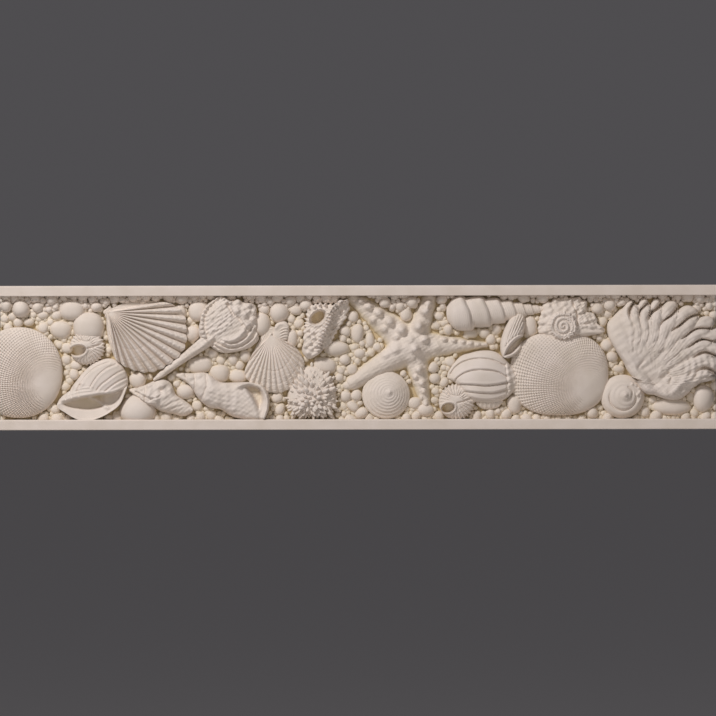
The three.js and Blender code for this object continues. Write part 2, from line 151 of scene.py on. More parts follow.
soft_lamp("key_lamp", place=(-0.95, -1.25, 1.3), size=0.4, power=30.4, colour=(1.0, 0.962, 0.94))
soft_lamp("fill_lamp", place=(0.6, -2.6, 0.1), size=2.0, power=12.0, colour=(1.0, 0.90, 0.79))
surround = bpy.data.worlds.new("studio_surround")
surround.use_nodes = True
background = surround.node_tree.nodes["Background"]
background.inputs["Color"].default_value = (0.078, 0.075, 0.080, 1)
background.inputs["Strength"].default_value = 1.0
bpy.context.scene.world = surround
bpy.context.scene.view_settings.view_transform = "Standard"


# %% [markdown]
# The moulding is held by its back, so the floor lies well below it and only closes the picture.

# %% Floor
floor_level = -0.75
select_nothing()
bpy.ops.mesh.primitive_plane_add(size=400, location=(0, 0, floor_level))
floor = bpy.context.object
floor.name = "floor"
floor_paint = bpy.data.materials.new("pale_floor")
floor_paint.use_nodes = True
floor_shader = floor_paint.node_tree.nodes["Principled BSDF"]
floor_shader.inputs["Base Color"].default_value = (0.80, 0.79, 0.79, 1)
floor_shader.inputs["Roughness"].default_value = 0.8
floor.data.materials.append(floor_paint)
print("floor", round(low[2] - floor_level, 2), "m below the casting")


# %% [markdown]
# The whole object is one matte plaster, cream on the shells, with painted shade in the gaps: the
# deeper a point lies, the more it turns through a warm yellow to honey brown, as shade and warm
# bounced light would make it. Depth on the object's own Y decides which, so the colour turns with
# the casting and not with the camera. Three noises give cloudy tone, dull and less dull spots, and
# the fine grain of the cast skin.

# %% Plaster
cream = (0.77, 0.69, 0.625, 1)
pale_top = (0.76, 0.69, 0.65, 1)
# Painted shade: a honey brown and a butter yellow for the deepest gaps, standing in for the shade and warm
# bounced light there.
shade_brown = (0.62, 0.50, 0.32, 1)
bounce_yellow = (0.76, 0.67, 0.54, 1)
shade_depth_span = 20.0
cloud_scale = 45
spot_scale = 160
grain_scale = 700


def plaster(name, depth_shade, grain, top=pale_top):
    material = bpy.data.materials.new(name)
    material.use_nodes = True
    nodes = material.node_tree.nodes
    links = material.node_tree.links
    shader = nodes["Principled BSDF"]
    shader.inputs["Specular IOR Level"].default_value = 0.25
    place = nodes.new("ShaderNodeTexCoord")

    def noise(scale, detail):
        node = nodes.new("ShaderNodeTexNoise")
        node.inputs["Scale"].default_value = scale
        node.inputs["Detail"].default_value = detail
        links.new(place.outputs["Object"], node.inputs["Vector"])
        return node.outputs["Fac"]

    def spread(value, from_low, from_high, to_low, to_high):
        node = nodes.new("ShaderNodeMapRange")
        node.inputs["From Min"].default_value = from_low
        node.inputs["From Max"].default_value = from_high
        node.inputs["To Min"].default_value = to_low
        node.inputs["To Max"].default_value = to_high
        links.new(value, node.inputs["Value"])
        return node.outputs["Result"]

    split = nodes.new("ShaderNodeSeparateXYZ")
    links.new(place.outputs["Object"], split.inputs["Vector"])
    bed = -slab_depth * mm
    out = spread(split.outputs["Y"], bed, bed - shade_depth_span * mm, 0.0, 1.0)
    ramp = nodes.new("ShaderNodeValToRGB")
    ramp.color_ramp.elements[0].color = shade_brown if depth_shade else cream
    ramp.color_ramp.elements[1].color = top
    # Painted shade: the deepest points turn honey brown and the next ones butter yellow, for shade and warm
    # bounced light in the gaps.
    if depth_shade:
        ramp.color_ramp.elements[0].position = 0.02
        ramp.color_ramp.elements.new(0.12).color = bounce_yellow
        ramp.color_ramp.elements.new(0.32).color = cream
    links.new(out, ramp.inputs["Fac"])
    tone = nodes.new("ShaderNodeMix")
    tone.data_type = "RGBA"
    tone.blend_type = "MULTIPLY"
    tone.inputs["Factor"].default_value = 1
    cloud = nodes.new("ShaderNodeValToRGB")
    cloud.color_ramp.elements[0].color = (0.90, 0.89, 0.86, 1)
    cloud.color_ramp.elements[0].position = 0.3
    cloud.color_ramp.elements[1].color = (1, 1, 1, 1)
    cloud.color_ramp.elements[1].position = 0.7
    links.new(noise(cloud_scale, 4), cloud.inputs["Fac"])
    links.new(ramp.outputs["Color"], tone.inputs["A"])
    links.new(cloud.outputs["Color"], tone.inputs["B"])
    links.new(tone.outputs["Result"], shader.inputs["Base Color"])
    links.new(spread(noise(spot_scale, 3), 0.3, 0.7, 0.68, 0.9), shader.inputs["Roughness"])
    bump = nodes.new("ShaderNodeBump")
    bump.inputs["Strength"].default_value = grain
    bump.inputs["Distance"].default_value = 0.0004
    links.new(noise(grain_scale, 5), bump.inputs["Height"])
    links.new(bump.outputs["Normal"], shader.inputs["Normal"])
    return material


relief_plaster = plaster("cast_plaster_relief", True, 0.35)
rail_plaster = plaster("cast_plaster_rail", False, 0.12, top=(0.75, 0.672, 0.625, 1))
bed_plaster = plaster("cast_plaster_bed", True, 0.6)
print("materials", len(bpy.data.materials))


# %% [markdown]
# Every piece ends the same way: smooth shading with crisp corners, its plaster, and the calls
# that tie it to the frame. It rides on the one body and stands for the casting's plain solid, which
# is hidden. A shell that would stand further out than the casting is pressed back evenly first,
# since the frame alone says how deep the moulding is.

# %% Finishing a piece
pieces = []


def tie_to_frame(piece):
    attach(piece, "root")
    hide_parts(casting)


def keep_inside(piece):
    bed = -slab_depth * mm
    limit = low[1] + 0.02 * mm
    points = read_points(piece)
    furthest = points[:, 1].min()
    if furthest < limit:
        share = (limit - bed) / (furthest - bed)
        points[:, 1] = np.where(points[:, 1] < bed, bed + (points[:, 1] - bed) * share, points[:, 1])
        write_points(piece, points)


def finish(piece, name, material=relief_plaster, crease=50):
    piece.name = name
    piece.data.name = name
    select_only(piece)
    bpy.ops.object.transform_apply(location=True, rotation=True, scale=True)
    keep_inside(piece)
    bpy.ops.object.mode_set(mode="EDIT")
    bpy.ops.mesh.select_all(action="SELECT")
    bpy.ops.mesh.normals_make_consistent(inside=False)
    bpy.ops.object.mode_set(mode="OBJECT")
    bpy.ops.object.shade_smooth_by_angle(angle=math.radians(crease))
    if not piece.data.materials:
        piece.data.materials.append(material)
    tie_to_frame(piece)
    pieces.append(piece)
    print(name, len(piece.data.polygons), "faces")


# %% [markdown]
# The slab and its rails are one long bar. A cube is stretched to the slab, the strips along its top
# and bottom are cut free on the front, and both are pulled forward to the rails' depth. Three boxes
# would do as well, but one mesh shows no seam and has truly square inner corners. Last, the front
# edges are bevelled, wider on the upper edge of each rail, which catches the light, than on the
# lower one.

# %% Slab and rails
select_nothing()
bpy.ops.mesh.primitive_cube_add(size=1, location=(0, -slab_depth * mm / 2, 0))
bar = bpy.context.object
bar.scale = (length * mm, slab_depth * mm, height * mm)
bpy.ops.object.transform_apply(location=True, rotation=True, scale=True)
bpy.ops.object.mode_set(mode="EDIT")
field_top = height / 2 - rail_height
for level in (field_top, -field_top):
    bpy.ops.mesh.select_all(action="SELECT")
    bpy.ops.mesh.bisect(plane_co=(0, 0, level * mm), plane_no=(0, 0, 1))
bpy.ops.mesh.select_mode(type="FACE")
bpy.ops.mesh.select_all(action="DESELECT")
bpy.ops.object.mode_set(mode="OBJECT")
for face in bar.data.polygons:
    is_front = face.normal.y < -0.9
    face.select = is_front and abs(face.center.z) > field_top * mm
bpy.ops.object.mode_set(mode="EDIT")
pull = -(rail_depth - slab_depth) * mm
bpy.ops.mesh.extrude_region_move(TRANSFORM_OT_translate={"value": (0, pull, 0)})
bpy.ops.object.mode_set(mode="OBJECT")
front = -rail_depth * mm
arrises = ((upper_arris, (height / 2, -field_top)), (lower_arris, (field_top, -height / 2)))
for width, levels in arrises:
    select_only(bar)
    bpy.ops.object.mode_set(mode="EDIT")
    bpy.ops.mesh.select_mode(type="EDGE")
    bpy.ops.mesh.select_all(action="DESELECT")
    bpy.ops.object.mode_set(mode="OBJECT")
    for edge in bar.data.edges:
        ends = [bar.data.vertices[i].co for i in edge.vertices]
        is_long = abs(ends[0].x - ends[1].x) > 0.1
        is_front = all(abs(end.y - front) < 1e-6 for end in ends)
        edge.select = is_long and is_front and any(abs(ends[0].z - level * mm) < 1e-5 for level in levels)
    bpy.ops.object.mode_set(mode="EDIT")
    bpy.ops.mesh.bevel(offset=width * mm, segments=2, profile=0.36)
    bpy.ops.object.mode_set(mode="OBJECT")
bar.data.materials.append(rail_plaster)
bar.data.materials.append(bed_plaster)
# The bed and the rails' inner walls take the bed plaster, whose depth ramp paints shade on them, brown
# where they lie deepest.
for face in bar.data.polygons:
    middle = face.center
    is_bed = abs(middle.y + slab_depth * mm) < 1e-6
    is_inner = abs(abs(middle.z) - field_top * mm) < 1e-5 and middle.y < -slab_depth * mm
    face.material_index = 1 if is_bed or is_inner else 0
finish(bar, "slab_and_rails", crease=5)


# %% [markdown]
# Natural shells grow by one simple rule repeated, so their forms are written as rules too. A ball is
# cut in half, its rim is pulled back into the slab, and then each point of the front is pressed into
# place like clay in a mould. The straight sides leave no undercut, as a cast that has to come out of
# its mould needs.

# %% Half a ball of clay
def half_ball(around, rings, poles, cuts=0):
    select_nothing()
    rotation = (math.pi / 2, 0, 0) if poles == "front" else (0, math.pi / 2, 0)
    bpy.ops.mesh.primitive_uv_sphere_add(segments=around, ring_count=rings, radius=1, rotation=rotation)
    ball = bpy.context.object
    bpy.ops.object.transform_apply(location=True, rotation=True, scale=True)
    bpy.ops.object.mode_set(mode="EDIT")
    bpy.ops.mesh.select_all(action="SELECT")
    bpy.ops.mesh.bisect(plane_co=(0, 0, 0), plane_no=(0, 1, 0), clear_outer=True, threshold=1e-5)
    if cuts:
        bpy.ops.mesh.select_all(action="SELECT")
        bpy.ops.mesh.subdivide(number_cuts=cuts)
    bpy.ops.mesh.select_all(action="DESELECT")
    bpy.ops.mesh.select_mode(type="EDGE")
    bpy.ops.mesh.select_non_manifold()
    bpy.ops.mesh.extrude_region_move(TRANSFORM_OT_translate={"value": (0, 1, 0)})
    bpy.ops.mesh.edge_face_add()
    bpy.ops.object.mode_set(mode="OBJECT")
    return ball


# %% [markdown]
# A few soft shapes serve all the shells: the round of a hump from its top to its edge, the arch over
# a spindle, an eased step from nothing to all, and a smooth curve through the few places and sizes
# that were read from the photograph. A gentle unevenness keeps the surfaces from looking turned on a
# lathe.

# %% Soft shapes
def hump(share):
    """The height of a half round: 1 at its middle, 0 at its edge."""
    return np.sqrt(np.clip(1 - np.square(share), 0, 1))


def arch(angle):
    """The height over a spindle: 0 on both sides, 1 on the crest."""
    return np.clip(np.sin(angle), 0, 1)


def eased(value, start, end):
    """0 before the start, 1 past the end, and a soft step between them."""
    t = np.clip((value - start) / (end - start), 0, 1)
    return t * t * (3 - 2 * t)


def curve(pairs):
    """A smooth curve through a few pairs of a position and a value."""
    at = np.array([pair[0] for pair in pairs], float)
    value = np.array([pair[1] for pair in pairs], float)
    slope = np.gradient(value, at)

    def read(where):
        where = np.clip(where, at[0], at[-1])
        i = np.clip(np.searchsorted(at, where, side="right") - 1, 0, len(at) - 2)
        width = at[i + 1] - at[i]
        t = (where - at[i]) / width
        rise = t * t * (3 - 2 * t)
        leaving = t * (1 - t) ** 2 * width * slope[i]
        arriving = t * t * (1 - t) * width * slope[i + 1]
        return value[i] + (value[i + 1] - value[i]) * rise + leaving - arriving

    return read


def wobble(x, z, size, seed=0.0):
    """A gentle unevenness between -1 and 1, with lumps of about the size given."""
    k = turn / size
    a = np.sin(k * (0.83 * x + 0.41 * z) + seed)
    b = np.sin(k * (-0.37 * x + 0.94 * z) + 1.7 * seed + 1.3)
    c = np.sin(k * 1.9 * (0.62 * x - 0.71 * z) + 2.3 * seed + 4.1)
    return (a + b + 0.7 * c) / 2.7


print("half way out, a hump still has", round(float(hump(0.5)), 2), "of its height")


# %% [markdown]
# A dome is drawn out from one point of its own, as far as its reach in each direction. A spindle
# lies along an axis, and its outline on the left and right are curves along it. Both take a rule for
# the height of each point above the bed. The rule knows how far out or along the point is as a
# share, its angle, and its place x and z on the casting.

# %% Domes and spindles
def pressed(ball, front_points, rim_points, is_root):
    points = np.empty((len(is_root), 3))
    points[~is_root] = front_points
    points[is_root] = rim_points
    write_points(ball, points * mm)
    return ball


def dome(centre, reach, rule, around=96, rings=24, cuts=0, angle_of=None, spread=None):
    ball = half_ball(around, 2 * rings, "front", cuts)
    unit = read_points(ball)
    is_root = unit[:, 1] > 0.5
    round_share = np.mod(np.arctan2(unit[:, 2], unit[:, 0]) / turn, 1.0)
    angle = round_share * turn if angle_of is None else angle_of(round_share)
    down = np.arctan2(np.hypot(unit[:, 0], unit[:, 2]), -unit[:, 1]) / (math.pi / 2)
    down = np.where(is_root, 1.0, np.clip(down, 0, 1))
    share = down if spread is None else spread(down)
    out = share * reach(angle)
    x = across(centre[0]) + out * np.cos(angle)
    z = up(centre[1]) + out * np.sin(angle)
    rise = rule(share, angle, x, z)
    front = np.stack([x, -(slab_depth + rise), z], axis=1)[~is_root]
    back = np.full(len(x), -(slab_depth - root_depth))
    root = np.stack([x, back, z], axis=1)[is_root]
    return pressed(ball, front, root, is_root)


def crowded_on(fan, fan_share=0.84):
    """Angles for the points of a dome, most of them evenly on a fan and few behind it."""
    fan_width = fan[1] - fan[0]

    def angle_of(round_share):
        inside = fan[0] + fan_width * round_share / fan_share
        behind = fan[1] + (360 - fan_width) * (round_share - fan_share) / (1 - fan_share)
        return np.radians(np.where(round_share <= fan_share, inside, behind))

    return angle_of


def spindle(start, end, left, right, rule, around=96, along=120, cuts=0):
    ball = half_ball(around, along, "side", cuts)
    unit = read_points(ball)
    is_root = unit[:, 1] > 0.5
    depth = np.where(is_root, 0.0, unit[:, 1])
    share = np.arctan2(np.hypot(depth, unit[:, 2]), -unit[:, 0]) / math.pi
    angle = np.arctan2(-depth, unit[:, 2])
    on_pole = np.hypot(depth, unit[:, 2]) < 1e-6
    angle = np.where(on_pole, math.pi / 2, angle)
    from_x, from_z = across(start[0]), up(start[1])
    run_x, run_z = across(end[0]) - from_x, up(end[1]) - from_z
    run = math.hypot(run_x, run_z)
    side = np.where(np.cos(angle) > 0, left(share), right(share)) * np.cos(angle)
    x = from_x + run_x * share - run_z / run * side
    z = from_z + run_z * share + run_x / run * side
    rise = rule(share, angle, x, z)
    front = np.stack([x, -(slab_depth + rise), z], axis=1)[~is_root]
    back = np.full(len(x), -(slab_depth - root_depth))
    root = np.stack([x, back, z], axis=1)[is_root]
    return pressed(ball, front, root, is_root)


# %% [markdown]
# A modeller cuts grooves and lays ridges with a loop tool. Here a stroke is a smooth line on the
# drawing, and every point near it is raised or pressed in. Beads make a stroke swell and thin along
# its way, like a rope or a row of scales.

# %% The modeller's strokes
def smooth_line(way, count=90):
    way = np.array(way, float)
    steps = np.hypot(*np.diff(way, axis=0).T)
    at = np.concatenate([[0], np.cumsum(steps)])
    along = np.linspace(0, at[-1], count)
    if len(way) == 2:
        return np.stack([np.interp(along, at, way[:, 0]), np.interp(along, at, way[:, 1])], axis=1)
    lines = [curve(list(zip(at, way[:, axis])))(along) for axis in (0, 1)]
    return np.stack(lines, axis=1)


def nearest(x, z, line):
    """Distance to a line, the share of the way along it, and which side, 1 on its right."""
    px, pz = across(line[:, 0]), up(line[:, 1])
    best = np.full(len(x), 1e9)
    which = np.zeros(len(x), int)
    for i in range(len(px)):
        away = (x - px[i]) ** 2 + (z - pz[i]) ** 2
        closer = away < best
        best[closer] = away[closer]
        which[closer] = i
    before, after = np.maximum(which - 1, 0), np.minimum(which + 1, len(px) - 1)
    turned = (px[after] - px[before]) * (z - pz[which]) - (pz[after] - pz[before]) * (x - px[which])
    return np.sqrt(best), which / (len(px) - 1), -np.sign(turned)


def stroke(x, z, way, width, rise, beads=0, depth=0.5, taper=0.0):
    away, where, _ = nearest(x, z, smooth_line(way))
    tool = np.exp(-((away / width) ** 2))
    swell = 1 - depth * (0.5 - 0.5 * np.cos(turn * beads * where)) if beads else 1.0
    thin = 1 - taper * where
    return rise * tool * swell * thin


def step(x, z, way, drop, fade, cut=0.0, cut_width=0.8):
    """A sharp step down on the right of a line, which fades away from it, with a cut along it."""
    away, _, side = nearest(x, z, smooth_line(way))
    shelf = np.where(side > 0, -drop * np.exp(-away / fade), 0.0)
    return shelf - cut * np.exp(-((away / cut_width) ** 2))


def bump(x, z, place, radius, rise):
    away = np.hypot(x - across(place[0]), z - up(place[1])) / radius
    return rise * np.exp(-(away ** 2) * 1.4)


def bumps(x, z, knobs):
    """Many bumps together, each given as its place, its radius and its rise."""
    return sum(bump(x, z, place, radius, rise) for place, radius, rise in knobs)


def dent(x, z, place, size, tilt, softness=0.35):
    """How far inside an oval hole each point lies: 0 outside, 1 well inside."""
    dx, dz = x - across(place[0]), z - up(place[1])
    a = math.radians(tilt)
    u = (dx * math.cos(a) + dz * math.sin(a)) / (size[0] / 2)
    v = (-dx * math.sin(a) + dz * math.cos(a)) / (size[1] / 2)
    return eased(1 - np.hypot(u, v), 0, softness)


def compass(pairs):
    """Reach against angle in degrees, for an outline drawn round one point."""
    read = curve(pairs)
    start = pairs[0][0]
    return lambda angle: read(np.mod(np.degrees(angle) - start, 360) + start)


# %% [markdown]
# Some shells have an open mouth with a bent outline. A closed line on the drawing gives it, and the
# clay inside the line is pressed in, steeply at the edge and evenly in the middle.

# %% Pressing in a mouth
def within(x, z, way, edge):
    way = list(way) + [way[0]]
    line = smooth_line(way, 120)
    px, pz = across(line[:, 0]), up(line[:, 1])
    is_in = np.zeros(len(x), bool)
    for i in range(len(px) - 1):
        crosses = (pz[i] > z) != (pz[i + 1] > z)
        climb = pz[i + 1] - pz[i]
        meet = px[i] + (px[i + 1] - px[i]) * (z - pz[i]) / (climb if abs(climb) > 1e-9 else 1e-9)
        is_in ^= crosses & (x < meet)
    away = nearest(x, z, line)[0]
    return np.where(is_in, eased(away, 0, edge), 0.0)


# %% [markdown]
# The moulding runs on at both ends, so whatever crosses an end is sawn off there, square with the
# slab, and the cut is closed. Each piece is cut a hair short of the slab's own end, and no two are
# cut alike, so that no two flat cuts lie in one plane, which would show as black spots.

# %% Sawing off the ends
def saw_ends(piece, inset=0.05):
    select_only(piece)
    bpy.ops.object.mode_set(mode="EDIT")
    for side in (-1, 1):
        bpy.ops.mesh.select_all(action="SELECT")
        end = side * (length / 2 - inset) * mm
        bpy.ops.mesh.bisect(
            plane_co=(end, 0, 0), plane_no=(side, 0, 0), use_fill=True, clear_outer=True, threshold=1e-6,
        )
    bpy.ops.object.mode_set(mode="OBJECT")


def flatten_cuts(piece):
    """A sawn face is flat, so it takes no soft shading from the shell round it."""
    for face in piece.data.polygons:
        if abs(face.normal.x) > 0.999 and abs(face.center.x) > (length / 2 - 1) * mm:
            face.use_smooth = False


# %% [markdown]
# Lucines are low round clams with a fine net of rays and growth lines. The net is worn smooth near
# the beak. The shell is drawn from its beak, so its rows of points run as the rays do, and most rows
# lie on the side that has the net, which keeps it crisp with few faces.

# %% Two lucines
def lucine(name, centre, half_width, half_height, beak, squareness, rise, fan, net_height):
    cx, cz = across(centre[0]), up(centre[1])
    bx, bz = across(beak[0]), up(beak[1])
    rays, spacing = 140, 2.5

    def norm(x, z):
        a = np.abs((x - cx) / half_width) ** squareness
        b = np.abs((z - cz) / half_height) ** squareness
        return (a + b) ** (1 / squareness)

    def reach(angle):
        inside = np.zeros_like(angle)
        outside = np.full_like(angle, half_width + half_height)
        for _ in range(24):
            middle = (inside + outside) / 2
            is_in = norm(bx + middle * np.cos(angle), bz + middle * np.sin(angle)) < 1
            inside = np.where(is_in, middle, inside)
            outside = np.where(is_in, outside, middle)
        return inside

    def rule(share, angle, x, z):
        edge = np.minimum(norm(x, z), 1)
        crown = 4.5 + (rise - 4.5) * hump(edge ** 1.5)
        away = np.hypot(x - bx, z - bz)
        turned = np.mod(np.degrees(angle) - fan[0], 360)
        in_fan = eased(turned, 0, 35) * eased(fan[1] - fan[0] - turned, 0, 35)
        worn = eased(away, 6, 34) * in_fan * eased(1 - edge, 0.0, 0.03)
        ray = np.cos(rays * angle)
        ring = np.cos(turn * away / spacing + 1.2 * np.sin(2 * angle))
        net = 0.42 * ray + 0.38 * ring + 0.2 * ray * ring
        crisp = net_height * (0.75 + 0.4 * eased(bx - x + bz - z, -40, 60))
        return crown + worn * crisp * net + 0.25 * wobble(x, z, 24, 2)

    def spread(share):
        return share * (1.3 - 0.3 * share)

    angle_of = crowded_on(fan)
    piece = dome(beak, reach, rule, around=172, rings=30, cuts=2, angle_of=angle_of, spread=spread)
    saw_ends(piece)
    finish(piece, name)
    flatten_cuts(piece)


lucine(
    "left_lucine", centre=(19, 86.5), half_width=43.5, half_height=45.5, beak=(50, 99.5),
    squareness=2.1, rise=16.0, fan=(40, 265), net_height=1.35,
)
lucine(
    "right_lucine", centre=(559, 88.5), half_width=49.5, half_height=42.0, beak=(590, 102.5),
    squareness=2.4, rise=15.5, fan=(35, 260), net_height=1.1,
)


# %% [markdown]
# A scallop is a fan of strong ribs. The points are spaced evenly inside the fan, about fifteen to
# each rib, so that rib and groove are cut alike, and the edge of the fan waves with them.

# %% Two scallops
def scallop(name, beak, outline, fan, ribs, rise, rib_height, start_of_ribs, groove_bias):
    edge_wave = 0.0035 * rib_height
    reach_plain = compass(outline)
    fan_width = fan[1] - fan[0]

    def rib_wave(angle):
        turned = np.mod(np.degrees(angle) - fan[0], 360)
        phase = turned / fan_width * ribs
        wave = 0.5 - 0.5 * np.cos(turn * phase)
        return np.where(turned < fan_width, wave ** groove_bias, 0.0)

    def reach(angle):
        return reach_plain(angle) * (0.98 + edge_wave * rib_wave(angle))

    def rule(share, angle, x, z):
        middle = np.clip(np.mod(np.degrees(angle) - fan[0], 360) / fan_width, 0, 1)
        side = 2 * middle - 1
        profile = (0.5 + 1.6 * share) * np.clip(1 - share, 0, 1) ** 0.7
        fall = 0.65 * (1 - hump(side)) * eased(share, 0, 0.3)
        crown = 5 + (rise - 5) * profile * (1 - fall)
        grown = eased(share, 0.02, start_of_ribs)
        top = rib_wave(angle)
        rib = rib_height * grown * top * (0.6 + 0.6 * share)
        rough = 0.45 * wobble(x, z, 3.4, 5) + 0.25 * np.cos(turn * share * 30 + 2 * side)
        scales = rough * eased(share, 0.25, 0.8) * top
        steps = 0.5 * np.exp(-((share - 0.62) / 0.015) ** 2) + 0.5 * np.exp(-((share - 0.84) / 0.012) ** 2)
        return crown + rib + scales - steps

    finish(dome(beak, reach, rule, around=ribs * 6, rings=30, cuts=2, angle_of=crowded_on(fan)), name)


left_outline = [
    (-180, 6), (-138, 6), (-95, 22), (-82, 47), (-70, 60), (-54, 74), (-40, 80), (-25, 84), (-10, 79),
    (-2, 76), (6, 67), (12, 53), (29, 23), (90, 7), (180, 6),
]
middle_outline = [
    (-180, 9), (-160, 12), (-145, 18), (-133, 30), (-127, 44), (-116, 52), (-104, 56), (-92, 58),
    (-79, 59), (-64, 55), (-51, 50), (-42, 46), (-34, 38), (-26, 28), (-14, 12), (60, 9), (90, 9),
    (120, 9), (180, 9),
]
scallop(
    "left_scallop", beak=(109, 26.5), outline=left_outline, fan=(-84, 12), ribs=14, rise=12.5,
    rib_height=5.9, start_of_ribs=0.30, groove_bias=0.42,
)
scallop(
    "middle_scallop", beak=(271, 49.5), outline=middle_outline, fan=(-136, -22), ribs=17, rise=13.5,
    rib_height=2.0, start_of_ribs=0.5, groove_bias=0.5,
)


# %% [markdown]
# The scallop's ear is a small wing at the hinge with a few ridges across it. It could be part of the
# fan's outline. A dome of its own overlaps the fan instead, and its ridges then run in their own
# direction.

# %% The scallop's ear
def scallop_ear():
    outline = compass([
        (-180, 9), (-150, 11), (-120, 10), (-90, 9), (-60, 9), (-30, 7), (0, 6.5), (40, 8.5),
        (70, 10.5), (100, 10), (130, 10), (155, 9), (180, 9),
    ])

    def rule(share, angle, x, z):
        dx, dz = x - across(282.5), z - up(46)
        ridges = 0.55 * np.cos(turn * (dz + 0.06 * dx ** 2 - 0.45 * dx) / 2.8) * eased(1 - share, 0, 0.25)
        ridges = ridges * eased(5.5 - dz, 0, 2.5) * eased(dx, -3.5, -0.5)
        roll = stroke(x, z, [(276, 42), (279, 38.8), (284, 38.2), (288, 41)], 2.2, 1.8)
        return 7.5 + 3.0 * hump(share) + ridges + roll

    finish(dome((282.5, 46), outline, rule, around=96, rings=32), "scallop_ear")


scallop_ear()


# %% [markdown]
# Two small turbans lie mouth up: a ribbed dome, a deep oval mouth with a thick lip, and a row of
# teeth round the edge that is away from the mouth. The mouth could be cut out with a boolean. It is
# pressed in here, because the lip and the shell then stay one smooth skin, and because one function
# makes both shells.

# %% Two small turbans
def turban(name, centre, radius, mouth, mouth_size, tilt, rise):
    def reach(angle):
        away_from_mouth = eased(np.abs(np.mod(np.degrees(angle) - 205 + 180, 360) - 180), 35, 80)
        return radius + 0.9 * away_from_mouth * np.cos(28 * angle)

    def rule(share, angle, x, z):
        crown = 4 + (rise - 4) * hump(share) ** 0.8
        from_spire = np.arctan2(z - up(centre[1] - 1), x - across(centre[0] - 1))
        away = np.hypot(z - up(centre[1] - 1), x - across(centre[0] - 1))
        ribs = (0.5 * np.cos(28 * from_spire) + 0.35 * wobble(x, z, 5, 3)) * eased(away, 3.5, 9)
        hole = dent(x, z, mouth, mouth_size, tilt, 0.3)
        wide = (mouth_size[0] * 1.3, mouth_size[1] * 1.4)
        around_mouth = dent(x, z, mouth, wide, tilt, 0.22)
        lip = around_mouth - hole
        seam = stroke(x, z, [(centre[0] + 1, centre[1] + 1), (centre[0] + 8, centre[1] - 1),
                             (centre[0] + 15, centre[1] - 4)], 0.9, -1.6)
        spiral = stroke(x, z, [(centre[0] - 9, centre[1] - 8), (centre[0] + 1, centre[1] - 6),
                               (centre[0] + 7, centre[1] - 9), (centre[0] + 13, centre[1] - 10)], 1.0, -0.9)
        shell = crown * (1 - 0.08 * hole) + ribs * (1 - around_mouth)
        return shell + 1.4 * lip + seam + spiral - 9.0 * hole

    finish(dome(centre, reach, rule, around=112, rings=24, cuts=1), name)


turban(
    "left_turban", centre=(87, 61.5), radius=17.5, mouth=(78, 64.5), mouth_size=(19, 12.5), tilt=10,
    rise=14.5,
)
turban(
    "right_turban", centre=(456.5, 116.5), radius=18, mouth=(448, 122.5), mouth_size=(15, 11), tilt=12,
    rise=14,
)


# %% [markdown]
# The ringed cone and the moon snail lie point up. On the cone, fine rings run round the point. On
# the snail fine whorls coil out of the point, a deep groove curves below them, and a curled lip ends
# the last whorl. Each is a dome drawn from the point itself and not from the middle of the circle,
# so that the rows of points run round as the shell's own rings do.

# %% Cone and moon snail
def from_point(centre, radius, point):
    """Reach from an off-centre point to a circle."""
    dx, dz = point[0] - centre[0], centre[1] - point[1]

    def reach(angle):
        along = dx * np.cos(angle) + dz * np.sin(angle)
        return -along + np.sqrt(along ** 2 - (dx ** 2 + dz ** 2) + radius ** 2)

    return reach


def cone_rule(share, angle, x, z):
    crown = 5 + 10.5 * (1 - share ** 1.6) ** 0.85
    point = 1.6 * np.exp(-((share / 0.1) ** 2))
    strong = 0.3 + 0.7 * (0.5 - 0.5 * np.cos(angle - math.radians(45)))
    rings = 0.25 * strong * np.cos(turn * 8.5 * share + 0.5 * np.sin(angle)) * eased(share, 0.08, 0.3)
    return crown + rings + point + 0.15 * wobble(x, z, 8, 2)


cone_point = (389.5, 106.5)
cone_reach = from_point((386, 109.5), 24, cone_point)
finish(dome(cone_point, cone_reach, cone_rule, around=72, rings=40, cuts=1), "ringed_cone")


def snail_rule(share, angle, x, z):
    crown = 5 + 10.5 * (1 - share ** 2) ** 0.75
    away = np.hypot(x - across(625), z - up(110))
    point = 2.6 * np.exp(-((away / 4.5) ** 2)) + 1.2 * np.exp(-((away / 1.6) ** 2))
    whorls = 0.25 * np.cos(angle - turn * away / 5.2) * eased(away, 1.5, 4) * eased(13 - away, 0, 2)
    ring = np.hypot(x - across(622.5), z - up(112))
    lower = eased(-(z - up(112)), -9, 3)
    groove = -2.0 * np.exp(-((ring - 13.2) / 1.0) ** 2) * lower
    band = 0.9 * np.exp(-((ring - 17.5) / 2.6) ** 2)
    curl = stroke(x, z, [(632, 99), (637, 101), (640, 105.5), (637, 110)], 1.3, 2.0, beads=4)
    curl += stroke(x, z, [(641, 108), (641, 112), (638, 117)], 1.2, 1.3, beads=4)
    hook = stroke(x, z, [(628, 102), (632, 106), (631, 112)], 0.9, -1.2)
    return crown + point + whorls + groove + band + curl + hook


snail_point = (625, 110)
snail_reach = from_point((622.5, 111.5), 22, snail_point)
finish(dome(snail_point, snail_reach, snail_rule, around=72, rings=28, cuts=1), "moon_snail")


# %% [markdown]
# The frilled turban shows its flat spiral from above. Two coils rise in the middle, and the last
# whorl breaks into frills and knobs at a torn edge. The coils follow a rule, and the knobs are set
# one by one where the photograph has them, since a torn edge follows none. Sculpting could do it too,
# but a list of knobs can be read and changed.

